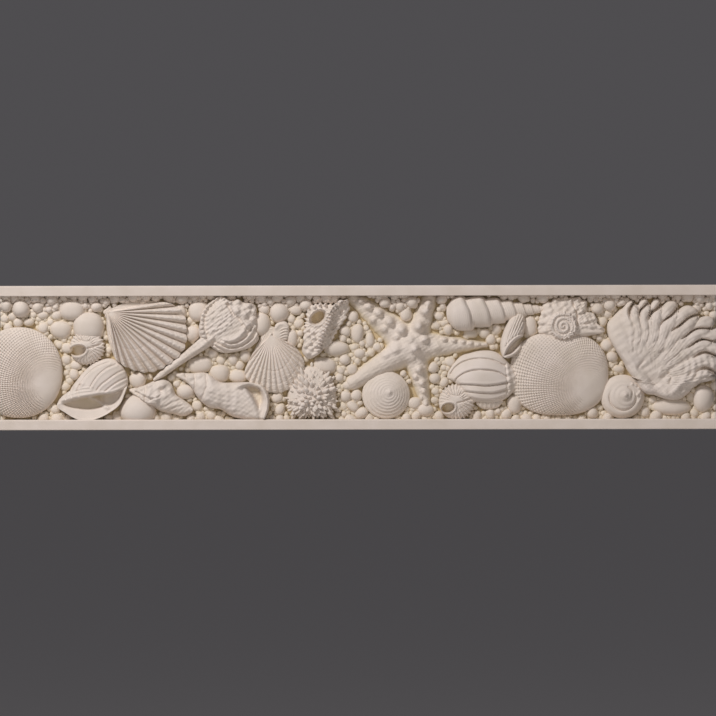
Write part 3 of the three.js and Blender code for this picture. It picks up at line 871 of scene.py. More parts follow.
# %% Frilled turban
def frilled_turban():
    centre = (563, 41)
    reach = compass([
        (-180, 25), (-169, 25.5), (-152, 21.5), (-135, 20), (-124, 21.6), (-100, 16.5), (-77, 17.5),
        (-55, 16), (-40, 15.8), (-28, 23.5), (-16, 32), (-9, 43), (3, 35), (12, 36), (20, 33),
        (37, 30), (46, 34), (69, 31), (96, 29), (115, 28.5), (134, 29), (144, 26), (162, 25.3),
        (180, 25),
    ])
    knobs = [
        ((556, 16), 2.8, 2.6), ((563, 18), 2.4, 1.8), ((571, 15), 3.0, 3.0), ((578, 14), 2.6, 2.6),
        ((585, 18), 3.0, 2.6), ((590, 25), 2.8, 2.8), ((595, 31), 2.6, 2.6), ((599, 37), 2.6, 2.8),
        ((601, 43), 2.4, 2.2), ((575, 24), 2.6, 2.0), ((582, 27), 2.6, 2.2), ((586, 35), 2.6, 1.8),
        ((549, 21), 2.8, 2.4), ((543, 29), 2.8, 2.2), ((541, 37), 2.6, 2.0), ((545, 46), 2.6, 1.8),
        ((551, 27), 2.6, 1.6), ((591, 41), 2.6, 1.6), ((566, 24), 2.2, 1.6), ((542, 52), 2.6, 1.8),
    ]

    def rule(share, angle, x, z):
        out = share * reach(angle)
        crown = 6 + 9 * hump(share) ** 0.7
        lift = 1.5 * np.exp(-((out - 12.3 + 0.5 * np.sin(5 * angle)) / 1.3) ** 2)
        lift += 0.9 * np.cos(turn * out / 4.6 + angle) * eased(12 - out, 0, 2) + 1.2 * eased(13 - out, 0, 1)
        drop = -2.2 * eased(out, 12.8, 15)
        right = eased(x, across(566), across(582))
        fine = 0.5 * np.cos(23 * angle + 3 * np.sin(2 * angle)) + 0.8 * wobble(x, z, 3.8, 2)
        soft = 0.9 * wobble(x, z, 9, 4) + 0.2 * wobble(x, z, 3, 1)
        frills = (fine * right + soft * (1 - right)) * eased(out, 14, 18)
        frills += bumps(x, z, knobs)
        fold = stroke(x, z, [(572, 13), (574, 21), (577, 29), (577, 40)], 1.0, -2.2)
        smooth = eased(x, across(577), across(583)) * eased(up(42) - z, 0, 3)
        wing = -0.8 * np.cos(turn * (z - up(44)) / 8) * smooth
        return crown + lift + drop + frills * (1 - 0.8 * smooth) + fold + wing

    def torn(angle):
        right = eased(np.cos(angle), -0.3, 0.3)
        return reach(angle) + (0.4 + 0.7 * right) * np.cos(17 * angle) + 0.5 * np.cos(29 * angle + 1)

    finish(dome(centre, torn, rule, around=140, rings=28, cuts=1), "frilled_turban")


frilled_turban()


# %% [markdown]
# The harp shell is a fat barrel. Its ribs are broad flat plates that end in a sharp step, so the
# light draws a thin dark line under each. The plates run into a crown of knobs at the spire. They
# could be separate plates laid on a barrel. Steps in one skin leave no gaps, and the lines stay as
# fine as the stroke that makes them.

# %% Harp shell
def harp():
    lower = curve([
        (0, 4), (0.06, 9), (0.135, 15), (0.31, 22), (0.5, 23.3), (0.68, 20), (0.774, 12.6),
        (0.885, 5.5), (1, 1.5),
    ])
    upper = curve([
        (0, 4), (0.088, 13), (0.2, 21.3), (0.343, 28.4), (0.52, 29.4), (0.694, 26), (0.87, 19),
        (0.96, 9), (1, 3),
    ])
    crest = curve([(0, 7), (0.1, 13), (0.25, 17.5), (0.45, 19.8), (0.7, 18), (0.9, 11), (1, 5)])
    grooves = [
        ([(450.5, 88), (453, 84), (457.6, 79.5), (466.8, 75), (479.4, 73), (492, 74.5), (504.7, 80)],
         0.9, 1.5),
        ([(454.5, 96.5), (456, 93.5), (460, 90), (470, 85.6), (484, 84.6), (498, 86.8), (506, 91)],
         1.1, 1.7),
        ([(460, 99), (474.8, 99.6), (486.3, 100.3), (497.8, 99), (507, 97.2)], 2.2, 1.2),
        ([(464, 106), (480.6, 107.6), (492, 107.8), (506, 104.6)], 1.8, 0.9),
        ([(470, 112.5), (482, 115), (494, 114.5), (506, 110.5)], 1.2, 0.8),
    ]
    nodules = [
        (508, 87.5), (509.5, 94), (509.5, 100), (510, 106), (513.5, 84.5), (515, 91), (515.5, 97.5),
        (515.5, 103.5), (507, 81.5), (507.5, 111),
    ]

    def rule(share, angle, x, z):
        rise = 5 + (crest(share) - 5) * arch(angle) ** 0.9
        for way, drop, cut in grooves:
            rise += step(x, z, way, drop, 3.2, cut, 0.75)
            rise += stroke(x, z, [(a, d - 2.0) for a, d in way], 1.2, 0.45)
        rise += bumps(x, z, [(place, 2.5, 1.9) for place in nodules])
        seam = stroke(x, z, [(505.5, 79), (506.5, 90), (507, 100), (506.5, 112)], 0.9, -1.0)
        return rise + seam

    finish(spindle((519, 98), (447, 91), lower, upper, rule, around=110, along=64, cuts=1), "harp_shell")


harp()


# %% [markdown]
# The last plate of the harp curls out under its lower edge. It is a spindle of its own, because one
# skin can't curl out under itself without an undercut.

# %% The harp's lip
def harp_lip():
    side = curve([(0, 1), (0.15, 5), (0.5, 7), (0.85, 5), (1, 1)])

    def rule(share, angle, x, z):
        return 4 + 5 * np.sin(angle) * hump(2 * share - 1) ** 0.6 + 0.4 * np.cos(turn * 6 * share)

    finish(spindle((503, 116), (476, 118), side, side, rule, around=48, along=60), "harp_lip")


harp_lip()


# %% [markdown]
# The auger is a long cone wound in whorls. Each whorl bulges and the seam between two whorls slants,
# because the tube climbs as it turns. Blender's screw modifier could wind a real tube. Half of it
# would be buried in the slab, so a spindle with slanting seams gives the same view with fewer faces.

# %% Auger
def auger():
    start, end = (548, 23.5), (446.5, 28.5)
    seams = [470.5, 489.3, 504.2, 516, 525.5, 533.5, 540]
    girth = curve([
        (0, 2), (0.1, 4.2), (0.28, 8), (0.42, 11.4), (0.6, 15), (0.78, 17.4), (0.86, 17.8),
        (0.94, 14.5), (1, 6),
    ])

    def level_of(share):
        return across(start[0]) + (across(end[0]) - across(start[0])) * share

    def whorl(off, size):
        """The last whorl overlaps the next with a steep edge, and each swells in its middle."""
        shape = np.where(off < 0, np.abs(off) / (0.9 * size + 0.3), np.abs(off) / (4.2 * size + 0.6))
        seam = -2.5 * size * np.exp(-(shape ** 1.3))
        belly = 1.1 * size * np.exp(-((off + 4.2 * size) / (3.4 * size + 0.3)) ** 2)
        return seam + belly

    def rule(share, angle, x, z):
        middle = up(start[1]) + (up(end[1]) - up(start[1])) * share
        level = level_of(share) + 0.24 * (z - middle) + 0.012 * (z - middle) ** 2
        size = girth(share) / 17
        rise = 4 + (0.95 * girth(share) + 0.5) * arch(angle) ** 0.9
        for seam in seams:
            rise += whorl(level - across(seam), size)
        growth = 0.17 * np.cos(turn * level / 2.0 + 0.8 * np.sin(z * 0.4))
        return np.maximum(rise + growth, 3)

    def side(slant):
        def width_at(share):
            level = level_of(share) + slant * girth(share)
            size = girth(share) / 17
            width = girth(share)
            for seam in seams:
                width = width + 0.8 * whorl(level - across(seam), size)
            return width

        return width_at

    finish(spindle(start, end, side(-0.22), side(0.22), rule, around=56, along=120, cuts=1), "auger")


auger()


# %% [markdown]
# The starfish has no repeated rule, so it is one soft skin, a fine grid laid over five arms. Each
# point takes the height of the arms near it, blended so that the arms flow into the middle, and rows
# of knobs follow each arm. What lies sunk in the slab is cut away.

# %% Starfish
def starfish():
    middle = (413, 60.5)
    arms = [
        ((352, 11), 20, 7.5, 6.5),
        ((430, 12), 16, 8.0, 7.5),
        ((486, 59.5), 18, 3.4, 6.5),
        ((353, 97), 17, 9.0, 9.5),
        ((427, 125), 16, 5.0, 6.0),
    ]
    knobs = [
        (415, 64, 4.0, 5.4), (425, 53.5, 4.2, 5.6), (402, 44.5, 5.2, 7.2), (418.5, 41, 5.4, 7.4),
        (426, 26, 5.0, 7.0), (428.5, 18.5, 4.0, 5.2), (436, 46.5, 3.4, 3.6), (444.5, 53, 3.4, 4.6),
        (454, 54, 3.2, 4.4), (463, 55.5, 3.0, 4.0), (471, 57.5, 2.6, 3.4), (478, 59, 2.4, 2.8),
        (419, 84.5, 4.0, 5.0), (390, 36, 5.0, 6.4), (379, 27, 4.6, 6.0), (369, 21, 4.4, 5.4),
        (361, 14.5, 4.0, 4.6), (394, 62, 6.5, 4.6), (385, 68, 5.0, 3.0), (422, 98, 3.2, 3.8),
        (424, 106, 2.8, 3.4), (415, 92, 3.0, 3.0), (410, 54, 4.0, 2.0), (437, 62, 4.0, 1.2),
        (411, 74, 4.6, 1.8), (420, 113, 2.6, 3.0), (425.5, 119, 2.6, 2.6), (396, 52, 3.6, 2.6),
        (384, 44, 3.8, 3.0), (373, 35, 3.6, 3.2), (373, 14, 3.6, 2.2), (384, 19, 3.6, 2.4),
        (432, 36, 4.0, 1.8), (420, 24, 3.6, 2.0), (435, 25, 3.4, 1.8), (431, 49, 3.4, 1.6),
        (440, 49, 2.8, 2.2), (449, 50, 2.6, 2.0), (458, 51.5, 2.4, 1.8), (413, 98, 2.8, 1.4),
    ]
    low_corner, high_corner = (340, 4), (494, 134)
    cell = 0.56
    blend = 0.6
    size_x = high_corner[0] - low_corner[0]
    size_z = high_corner[1] - low_corner[1]
    select_nothing()
    bpy.ops.mesh.primitive_grid_add(
        x_subdivisions=int(size_x / cell), y_subdivisions=int(size_z / cell), size=1,
        rotation=(math.pi / 2, 0, 0),
    )
    skin = bpy.context.object
    bpy.ops.object.transform_apply(location=True, rotation=True, scale=True)
    unit = read_points(skin)
    x = across(low_corner[0]) + (unit[:, 0] + 0.5) * size_x
    z = up(high_corner[1]) + (unit[:, 2] + 0.5) * size_z
    mx, mz = across(middle[0]), up(middle[1])
    ragged = 1 + 0.05 * wobble(x, z, 9, 2)
    total = np.zeros(len(x))
    for tip, root_half, tip_half, rise in arms:
        tx, tz = across(tip[0]) - mx, up(tip[1]) - mz
        run = math.hypot(tx, tz)
        share = np.clip(((x - mx) * tx + (z - mz) * tz) / run ** 2, 0, 1)
        away = np.hypot(x - mx - share * tx, z - mz - share * tz) * ragged
        half = tip_half + (root_half - tip_half) * (1 - share) ** 1.1
        arm_height = (rise + 3.5 * (1 - share) ** 1.4) * (1 - (away / half) ** 2.2)
        total += np.exp(blend * np.clip(arm_height, -12, 40))
    rise = np.log(total) / blend
    inside = eased(rise, 1, 6)
    for along, down, radius, lift in knobs:
        away = np.hypot(x - across(along), z - up(down)) / radius
        rise += lift * np.exp(-1.25 * away ** 3) * inside
    rise += (0.3 * wobble(x, z, 6.5, 1) + 0.2 * wobble(x, z, 2.9, 3)) * inside
    rise = np.clip(rise, -root_depth + 0.5, 21)
    write_points(skin, np.stack([x, -(slab_depth + rise), z], axis=1) * mm)
    close_skin(skin)
    finish(skin, "starfish", crease=75)


def close_skin(skin):
    """Cut away what lies sunk in the slab, then pull the rim back and close it."""
    sunk = read_points(skin)[:, 1] > -(slab_depth - root_depth + 0.6) * mm
    select_only(skin)
    bpy.ops.object.mode_set(mode="EDIT")
    bpy.ops.mesh.select_mode(type="VERT")
    bpy.ops.mesh.select_all(action="DESELECT")
    bpy.ops.object.mode_set(mode="OBJECT")
    skin.data.vertices.foreach_set("select", sunk)
    bpy.ops.object.mode_set(mode="EDIT")
    bpy.ops.mesh.delete(type="VERT")
    bpy.ops.mesh.select_mode(type="EDGE")
    bpy.ops.mesh.select_non_manifold()
    bpy.ops.mesh.extrude_region_move(TRANSFORM_OT_translate={"value": (0, mm, 0)})
    bpy.ops.mesh.edge_face_add()
    bpy.ops.object.mode_set(mode="OBJECT")


starfish()


# %% [markdown]
# The bonnet shell lies mouth down the slope. Its round body ends at a straight inner wall, and below
# it a wide mouth opens, rimmed by a thick rolled lip. Body and mouth are two heights of one dome. The
# line of the wall decides which of them a point takes, so the wall is as sharp as the points allow.

# %% Bonnet shell
def bonnet():
    centre = (98, 104.5)
    reach = compass([
        (-180, 28), (-161, 43), (-145, 39), (-113, 33), (-90, 28), (-62, 25), (-32, 26), (-7, 27),
        (20, 32), (40, 34), (63, 35), (92, 29), (123, 24), (158, 24), (180, 28),
    ])
    wall = curve([
        (50, 118), (57, 117), (65, 114.5), (75, 112), (87, 110), (100, 108), (113, 106.5), (122, 103),
        (130, 98),
    ])
    bands = [
        [(80.4, 99), (85, 91.5), (92, 84.5), (100, 79.5), (109, 76.4)],
        [(91, 101), (95, 94), (101, 87), (108, 82), (116, 78.6)],
        [(97.6, 103.8), (102, 98.5), (107, 94.8), (114, 89.5), (122, 85), (125, 83.9)],
        [(106, 105), (112, 100), (119, 95.5), (126, 92)],
    ]
    whorls = [
        [(80, 99), (78, 105), (79, 110)],
        [(73, 101), (71, 106.5), (72, 111.5)],
        [(67, 104), (65, 109), (66, 113)],
    ]
    knobs = [(69.5, 104), (75.5, 101.5), (63, 110), (83, 98)]
    cords = [
        [(62, 112), (72, 108), (82, 105.5), (92, 104.5)],
        [(64, 108), (74, 104.5), (84, 102), (93, 101)],
    ]
    mouth = [
        (61, 118), (70, 114.5), (86, 110.5), (100, 108), (114, 106), (123, 101.5), (122, 109.5),
        (115, 118.5), (103, 122), (91, 124.5), (76, 123.5), (66, 121),
    ]

    def rule(share, angle, x, z):
        body = 5 + 15 * hump(share) ** 0.85
        for band in bands:
            body += stroke(x, z, band, 0.9, -1.5)
            body += stroke(x, z, [(a + 1.2, d + 1.6) for a, d in band], 1.3, 0.6)
        for whorl in whorls:
            body += stroke(x, z, whorl, 1.0, -1.7)
        body += bumps(x, z, [(knob, 2.6, 1.2) for knob in knobs])
        for cord in cords:
            body += stroke(x, z, cord, 0.8, 0.7)
        bowl = 6.5 + 7.0 * share ** 1.6
        bowl += 1.2 * np.exp(-((share - 0.985) / 0.03) ** 2)
        bowl -= 5.5 * within(x, z, mouth, 2.2)
        bowl += stroke(x, z, [(89, 111), (96, 113.5), (102, 117.5), (108, 122)], 1.9, 4.2, taper=0.5)
        bowl += 2.2 * eased(x, across(99), across(106)) * within(x, z, mouth, 2.2)
        level = up(wall(x + length / 2))
        below = eased(level - z, -0.2, 1.2)
        edge = 1.1 * np.exp(-((level - z + 1.4) / 1.3) ** 2)
        return (body + edge) * (1 - below) + bowl * below

    finish(dome(centre, reach, rule, around=130, rings=32, cuts=1), "bonnet_shell")


bonnet()


# %% [markdown]
# The whelks are knobbed spindles. Seams wind across them and knobs sit on the shoulders of the
# whorls. The small one has a hollow between its two strongest knobs. Each fold is a raised stroke
# with a sunk one below it, because light and shade side by side are what makes a fold look deep.

# %% Small whelk
def small_whelk():
    left = curve([
        (0, 1), (0.22, 10.5), (0.33, 17), (0.47, 21), (0.57, 19), (0.69, 10), (0.81, 7.5), (0.95, 4),
        (1, 2),
    ])
    right = curve([
        (0, 1), (0.14, 5), (0.25, 9.8), (0.42, 8.5), (0.52, 10.3), (0.73, 10), (0.97, 4.7), (1, 2),
    ])
    knobs = [
        ((163, 98.5), 4.6, 4.4), ((161.5, 104.5), 3.0, -2.6), ((165, 110), 3.6, 1.6),
        ((156.5, 113), 3.8, 3.6), ((149, 99), 3.4, 3.0), ((149, 108), 3.2, 2.2),
        ((151, 117), 3.0, 2.0), ((141, 103), 2.6, 2.2), ((142, 110), 2.2, 1.6),
        ((171, 104), 3.4, 2.2), ((178, 111), 3.4, 1.6),
    ]
    folds = [
        ([(134, 108), (142, 113), (149, 117), (157, 117)], 1.4),
        ([(136, 104), (145, 108.5), (153, 111), (159, 109)], 1.3),
        ([(155, 120), (164, 119), (174, 114), (184, 111)], 0.5),
        ([(164, 124), (174, 120), (186, 117)], 0.5),
        ([(140, 116), (148, 121), (156, 123)], 1.2),
    ]

    def rule(share, angle, x, z):
        crest = 16 * np.minimum(1, 0.25 + 2.4 * share) * (1 - 0.5 * share ** 2)
        rise = 2 + crest * arch(angle) ** 0.8
        rise += bumps(x, z, knobs)
        for fold, lift in folds:
            rise += stroke(x, z, fold, 1.2, lift)
            rise += stroke(x, z, [(a, d + 2.1) for a, d in fold], 0.9, -0.8 * lift)
        rise += stroke(x, z, [(136, 98), (138, 105), (139, 112)], 1.0, -1.6)
        rise += stroke(x, z, [(146, 94.5), (146, 104), (145, 115)], 1.1, -1.8)
        rise += 0.5 * wobble(x, z, 5.5, 6)
        return rise

    whelk = spindle((128.6, 104), (193, 124.5), left, right, rule, around=60, along=60, cuts=1)
    finish(whelk, "small_whelk")


small_whelk()


# %% [markdown]
# The large whelk turns its flared mouth to the viewer. A bent closed line gives the mouth, and a
# thick stroke round it is the lip. Faint spiral lines and low folds come from two short loops, since
# they repeat evenly over the body.

# %% Large whelk
def large_whelk():
    left = curve([
        (0, 2), (0.12, 7.3), (0.25, 14.5), (0.45, 13.4), (0.57, 19.3), (0.72, 26.6), (0.86, 28),
        (0.96, 18), (1, 8),
    ])
    right = curve([
        (0, 2), (0.16, 3.5), (0.33, 12.7), (0.45, 14.8), (0.56, 11.6), (0.67, 12.8), (0.8, 10.9),
        (1, 3),
    ])
    hollow = [
        (243.5, 100.5), (252, 99.5), (260.5, 103), (264, 111), (263, 120), (259, 125), (254.5, 117),
        (248, 107),
    ]
    rim = [(240, 99.5), (247, 97), (254, 97), (262, 101.5), (267, 110.5), (267.5, 122), (264, 131.5)]
    knobs = [
        ((183, 87.5), 2.8, 2.2), ((190.5, 91.5), 3.2, 2.6), ((199, 89.5), 3.6, 2.8),
        ((201, 99), 3.6, 2.0), ((189, 100), 3.0, 1.6), ((211, 93), 4.2, 2.4), ((213, 104), 4.6, 1.4),
        ((225, 97.5), 4.6, 1.8), ((196, 108), 3.8, 1.4), ((236, 101), 3.8, 1.2),
        ((207, 114), 4.2, 1.2), ((222, 108), 5.0, 0.8),
    ]

    def rule(share, angle, x, z):
        crest = 17.5 * np.minimum(1, 0.2 + 2.2 * share) * (1 - 0.42 * share ** 2)
        rise = 3 + crest * arch(angle) ** 0.8
        rise += bumps(x, z, knobs)
        rise += stroke(x, z, [(184, 84.5), (186, 91), (185, 99)], 1.0, -1.7)
        rise += stroke(x, z, [(194, 85.5), (195.5, 96), (194, 107)], 1.1, -1.7)
        rise += stroke(x, z, [(206, 86.5), (207, 100), (201, 114)], 1.2, -1.6)
        for level in range(6):
            down = 100 + 4.6 * level
            way = [
                (207 + level, down), (222, down + 4), (240 + level, down + 7),
                (248 + level, down + 11),
            ]
            rise += stroke(x, z, way, 1.4, 0.4)
        for level in range(3):
            way = [(216 + 9 * level, 94 + level), (219 + 9 * level, 108), (216 + 9 * level, 124)]
            rise += stroke(x, z, way, 2.2, 0.6)
        rise += stroke(x, z, [(241, 100.5), (248, 110), (254, 122), (257, 131)], 2.6, 2.6)
        rise += stroke(x, z, rim, 2.6, 5.6)
        rise += 0.35 * wobble(x, z, 6.5, 9)
        return rise - 9.5 * within(x, z, hollow, 3.6) * eased(z, up(131), up(115))

    finish(spindle((176, 88.5), (265, 133), left, right, rule, around=84, along=84, cuts=1), "large_whelk")


large_whelk()


# %% [markdown]
# The third whelk is small and ribbed lengthwise, and its mouth is only a slit between two thin rims.
# The slit is pressed in last, over the ribs, so that its edges cut them off cleanly.

# %% Slit whelk
def slit_whelk():
    east = curve([(0, 3), (0.12, 6.5), (0.3, 9.5), (0.55, 11), (0.75, 12), (0.9, 9), (1, 3)])
    west = curve([(0, 3), (0.12, 6), (0.3, 8.5), (0.55, 9.5), (0.8, 8), (0.93, 5), (1, 2)])
    slit = [
        (504, 70.5), (507.5, 64), (513, 57), (519, 52.5), (523.5, 51), (521.8, 57), (517, 63.5),
        (510.5, 69),
    ]
    rims = (
        [(503, 70), (506.5, 62.5), (512, 55.5), (518.5, 51), (524, 50)],
        [(524.5, 50.5), (523, 58), (518, 65), (511, 70), (505, 72)],
    )
    ribs = [
        [(505, 60), (507, 52), (510.5, 43), (515, 33)],
        [(507.5, 57), (511, 48), (514, 40), (518, 31)],
        [(510.5, 54), (514, 46.5), (517, 39), (520.5, 31)],
        [(514, 51), (517.5, 44.5), (520, 38), (523, 32)],
        [(517.5, 49), (520.5, 43), (523, 37.5)],
        [(521, 47), (524, 41.5), (525.5, 37)],
    ]

    def rule(share, angle, x, z):
        rise = 4 + 11 * arch(angle) ** 0.7 * np.minimum(1, 0.3 + 2.4 * share)
        for rib in ribs:
            rise += stroke(x, z, rib, 0.95, 1.7)
        for rim in rims:
            rise += stroke(x, z, rim, 1.1, 2.2)
        return rise - 9 * within(x, z, slit, 1.6)

    finish(spindle((521, 25), (504.5, 72.5), east, west, rule, around=64, along=60, cuts=1), "slit_whelk")


slit_whelk()


# %% [markdown]
# The murex has a roped lip on its left, knobs at its spire, spiral cords over its body, and three
# thin lips in layers on its right. Rope, cords and lips are all beaded strokes of different widths.
# One tool used in many ways suits the shell, which makes all of them with one edge as it grows.

# %% Murex
def murex():
    centre = (222, 36.5)
    reach = compass([
        (-180, 22), (-141, 27), (-125, 26), (-94, 30), (-58, 34), (-36, 39), (-25, 40), (-5, 35),
        (22, 37), (51, 28), (70, 24), (92, 27), (114, 24), (142, 23), (180, 22),
    ])
    rope = [
        (206, 55), (203, 48), (201.2, 42), (200.8, 35), (202.4, 27), (207.6, 19), (214.4, 13.3),
        (222, 10.8), (229, 14.4),
    ]
    knobs = [
        ((239.5, 16), 4.4, 6.0), ((237.5, 24.5), 4.2, 4.6), ((249, 19.5), 4.0, 6.4),
        ((246, 29), 4.2, 5.0), ((255, 26), 3.4, 5.6), ((253.5, 34), 3.6, 4.8), ((249, 40), 3.2, 4.0),
        ((257.5, 40.5), 2.8, 4.2), ((243, 36.5), 3.0, 2.6), ((230.5, 17), 3.2, 3.0),
        ((258, 47), 2.8, 3.4), ((244, 22.5), 2.4, 2.2), ((250, 25), 2.2, 2.0),
    ]
    lips = [
        ([(223, 57), (229, 59.5), (235, 59.4), (245.4, 54.6), (251.2, 47.7), (253.5, 43.5)], 2.8, 6),
        ([(216, 58.5), (224, 62.5), (231, 64.4), (244.3, 61.5), (254.6, 53.5), (258, 48.5)], 2.8, 8),
        ([(214, 61), (221, 65.5), (227, 68.4), (235, 69.2), (245, 66), (255.8, 59), (260.4, 52.3)], 3.0, 9),
    ]

    def rule(share, angle, x, z):
        rise = 5.5 + 13.5 * hump(share) ** 0.75
        rise += stroke(x, z, rope, 3.0, 5.8, beads=14, depth=0.5) * eased(1 - share, -0.02, 0.1)
        rise += stroke(x, z, [(a + 4.6, d + 0.8) for a, d in rope], 1.7, -1.8)
        for i in range(7):
            start = 27 + 4.3 * i
            sway = 1.2 * math.sin(2.1 * i)
            cord = [(207, start + 3), (214, start - 2 + sway), (223, start - 8 - sway), (231, start - 14)]
            rise += stroke(x, z, cord, 1.35, 1.5, beads=4 + i % 2, depth=0.55)
        rise += stroke(x, z, [(228, 18), (234, 29), (241, 35), (247, 44)], 1.5, -2.8)
        rise += bumps(x, z, knobs)
        rise += stroke(x, z, [(225, 55), (232, 54.5), (239, 51), (245, 44), (246.5, 39)], 2.6, 4.0)
        for way, lift, waves in lips:
            rise += stroke(x, z, way, 1.6, lift, beads=waves, depth=0.25)
            rise += stroke(x, z, [(a - 1.0, d - 2.3) for a, d in way], 1.0, -1.7)
        return rise + 0.5 * wobble(x, z, 4.2, 8)

    def knobbed(angle):
        side = eased(np.degrees(np.arctan2(np.sin(angle), np.cos(angle))), -40, -15)
        return reach(angle) + 1.3 * np.cos(13 * angle) * side * eased(np.cos(angle), 0, 0.5)

    finish(dome(centre, knobbed, rule, around=140, rings=34, cuts=1), "murex")


murex()


# %% [markdown]
# The canal of the murex is a spindle of its own, which lies over the pebbles like a handle. A dome
# can't reach so far in one direction without stretching its faces.

# %% The murex's canal
def murex_canal():
    width = curve([(0, 4), (0.12, 6), (0.3, 5.4), (0.6, 3.8), (0.9, 2.8), (1, 1.4)])

    def rule(share, angle, x, z):
        rise = 6 + (11 - 6 * share) * arch(angle) ** 0.8
        ridges = 0.7 * np.cos(5 * angle) * eased(0.55 - share, 0, 0.3)
        return rise + ridges + 0.5 * np.cos(turn * share * 14) + 0.3 * wobble(x, z, 4, 1)

    canal = spindle((214, 50), (153.5, 94.5), width, width, rule, around=32, along=60, cuts=1)
    finish(canal, "murex_canal")


murex_canal()


# %% [markdown]
# The thorn shell shows its mouth. A thick lip with overlapping scales runs down one side, small
# thorns crown it, and a scaly edge closes it on the other side. The thorns are steep bumps and not
# separate cones, since a cast can't keep thin loose points.

# %% Thorn shell
def thorn_shell():
    centre = (322, 42.5)
    reach = compass([
        (-180, 17), (-142, 24), (-124, 33), (-108, 32), (-95, 25), (-65, 19), (-28, 15), (19, 24),
        (33, 32), (49, 38), (62, 28), (90, 25), (118, 25), (148, 19), (180, 17),
    ])
    ridge = [(346, 13.5), (338, 20), (331.5, 28), (329.5, 36), (324.5, 46.5), (320.5, 57), (319.5, 68)]
    thorns = [
        (304.5, 31), (305.5, 26.5), (309.5, 23), (314.5, 21.5), (319.5, 19.5), (325, 19), (330, 16),
        (335, 13.5), (340, 11.5), (345, 10.5), (335, 19.5), (341, 16), (347, 15),
    ]
    scales = [
        (303, 40), (308, 44), (303.5, 47), (309, 50.5), (304, 54), (310, 57), (305.5, 61),
        (311.5, 63.5), (308, 67.5), (314, 69.5), (314.5, 53), (316, 60), (313, 46.5), (317.5, 66),
    ]

    def rule(share, angle, x, z):
        rise = 5.5 + 9.5 * hump(share) ** 0.75
        away, _, side = nearest(x, z, smooth_line(ridge))
        wing = np.where(side < 0, eased(away, 0, 7), 0.0)
        rise -= wing * (3.0 + 1.2 * wobble(x, z, 6, 3)) * eased(1 - share, 0, 0.4)
        rise += stroke(x, z, ridge, 3.7, 6.0, beads=18, depth=0.55)
        for i, place in enumerate(thorns):
            rise = rise + bump(x, z, place, 1.9 + 0.3 * math.sin(3 * i), 5.8)
        for i, place in enumerate(scales):
            rise = rise + bump(x, z, place, 2.5 + 0.4 * math.sin(5 * i), 3.4)
        rise += 0.9 * wobble(x, z, 4.4, 4) * eased(1 - share, 0, 0.3)
        lip = dent(x, z, (318, 32), (25, 18), 40, 0.25) * 1.6
        return np.maximum(rise + lip - 15 * dent(x, z, (318, 32), (21, 14.5), 40, 0.45), 1)

    def thorny(angle):
        upper_side = eased(np.sin(angle), -0.1, 0.3)
        return reach(angle) + 1.2 * np.cos(31 * angle) * upper_side + 0.6 * np.cos(19 * angle)

    finish(dome(centre, thorny, rule, around=140, rings=34, cuts=1), "thorn_shell")


thorn_shell()


# %% [markdown]
# The giant clam runs off the right end. Deep folds fan out from its hinge and end as separate
# fingers, with growth ripples across them. The fingers differ in width, so each has its own angle in
# a list. A gentle sway bends them all together, because straight rays would look drawn with a ruler.

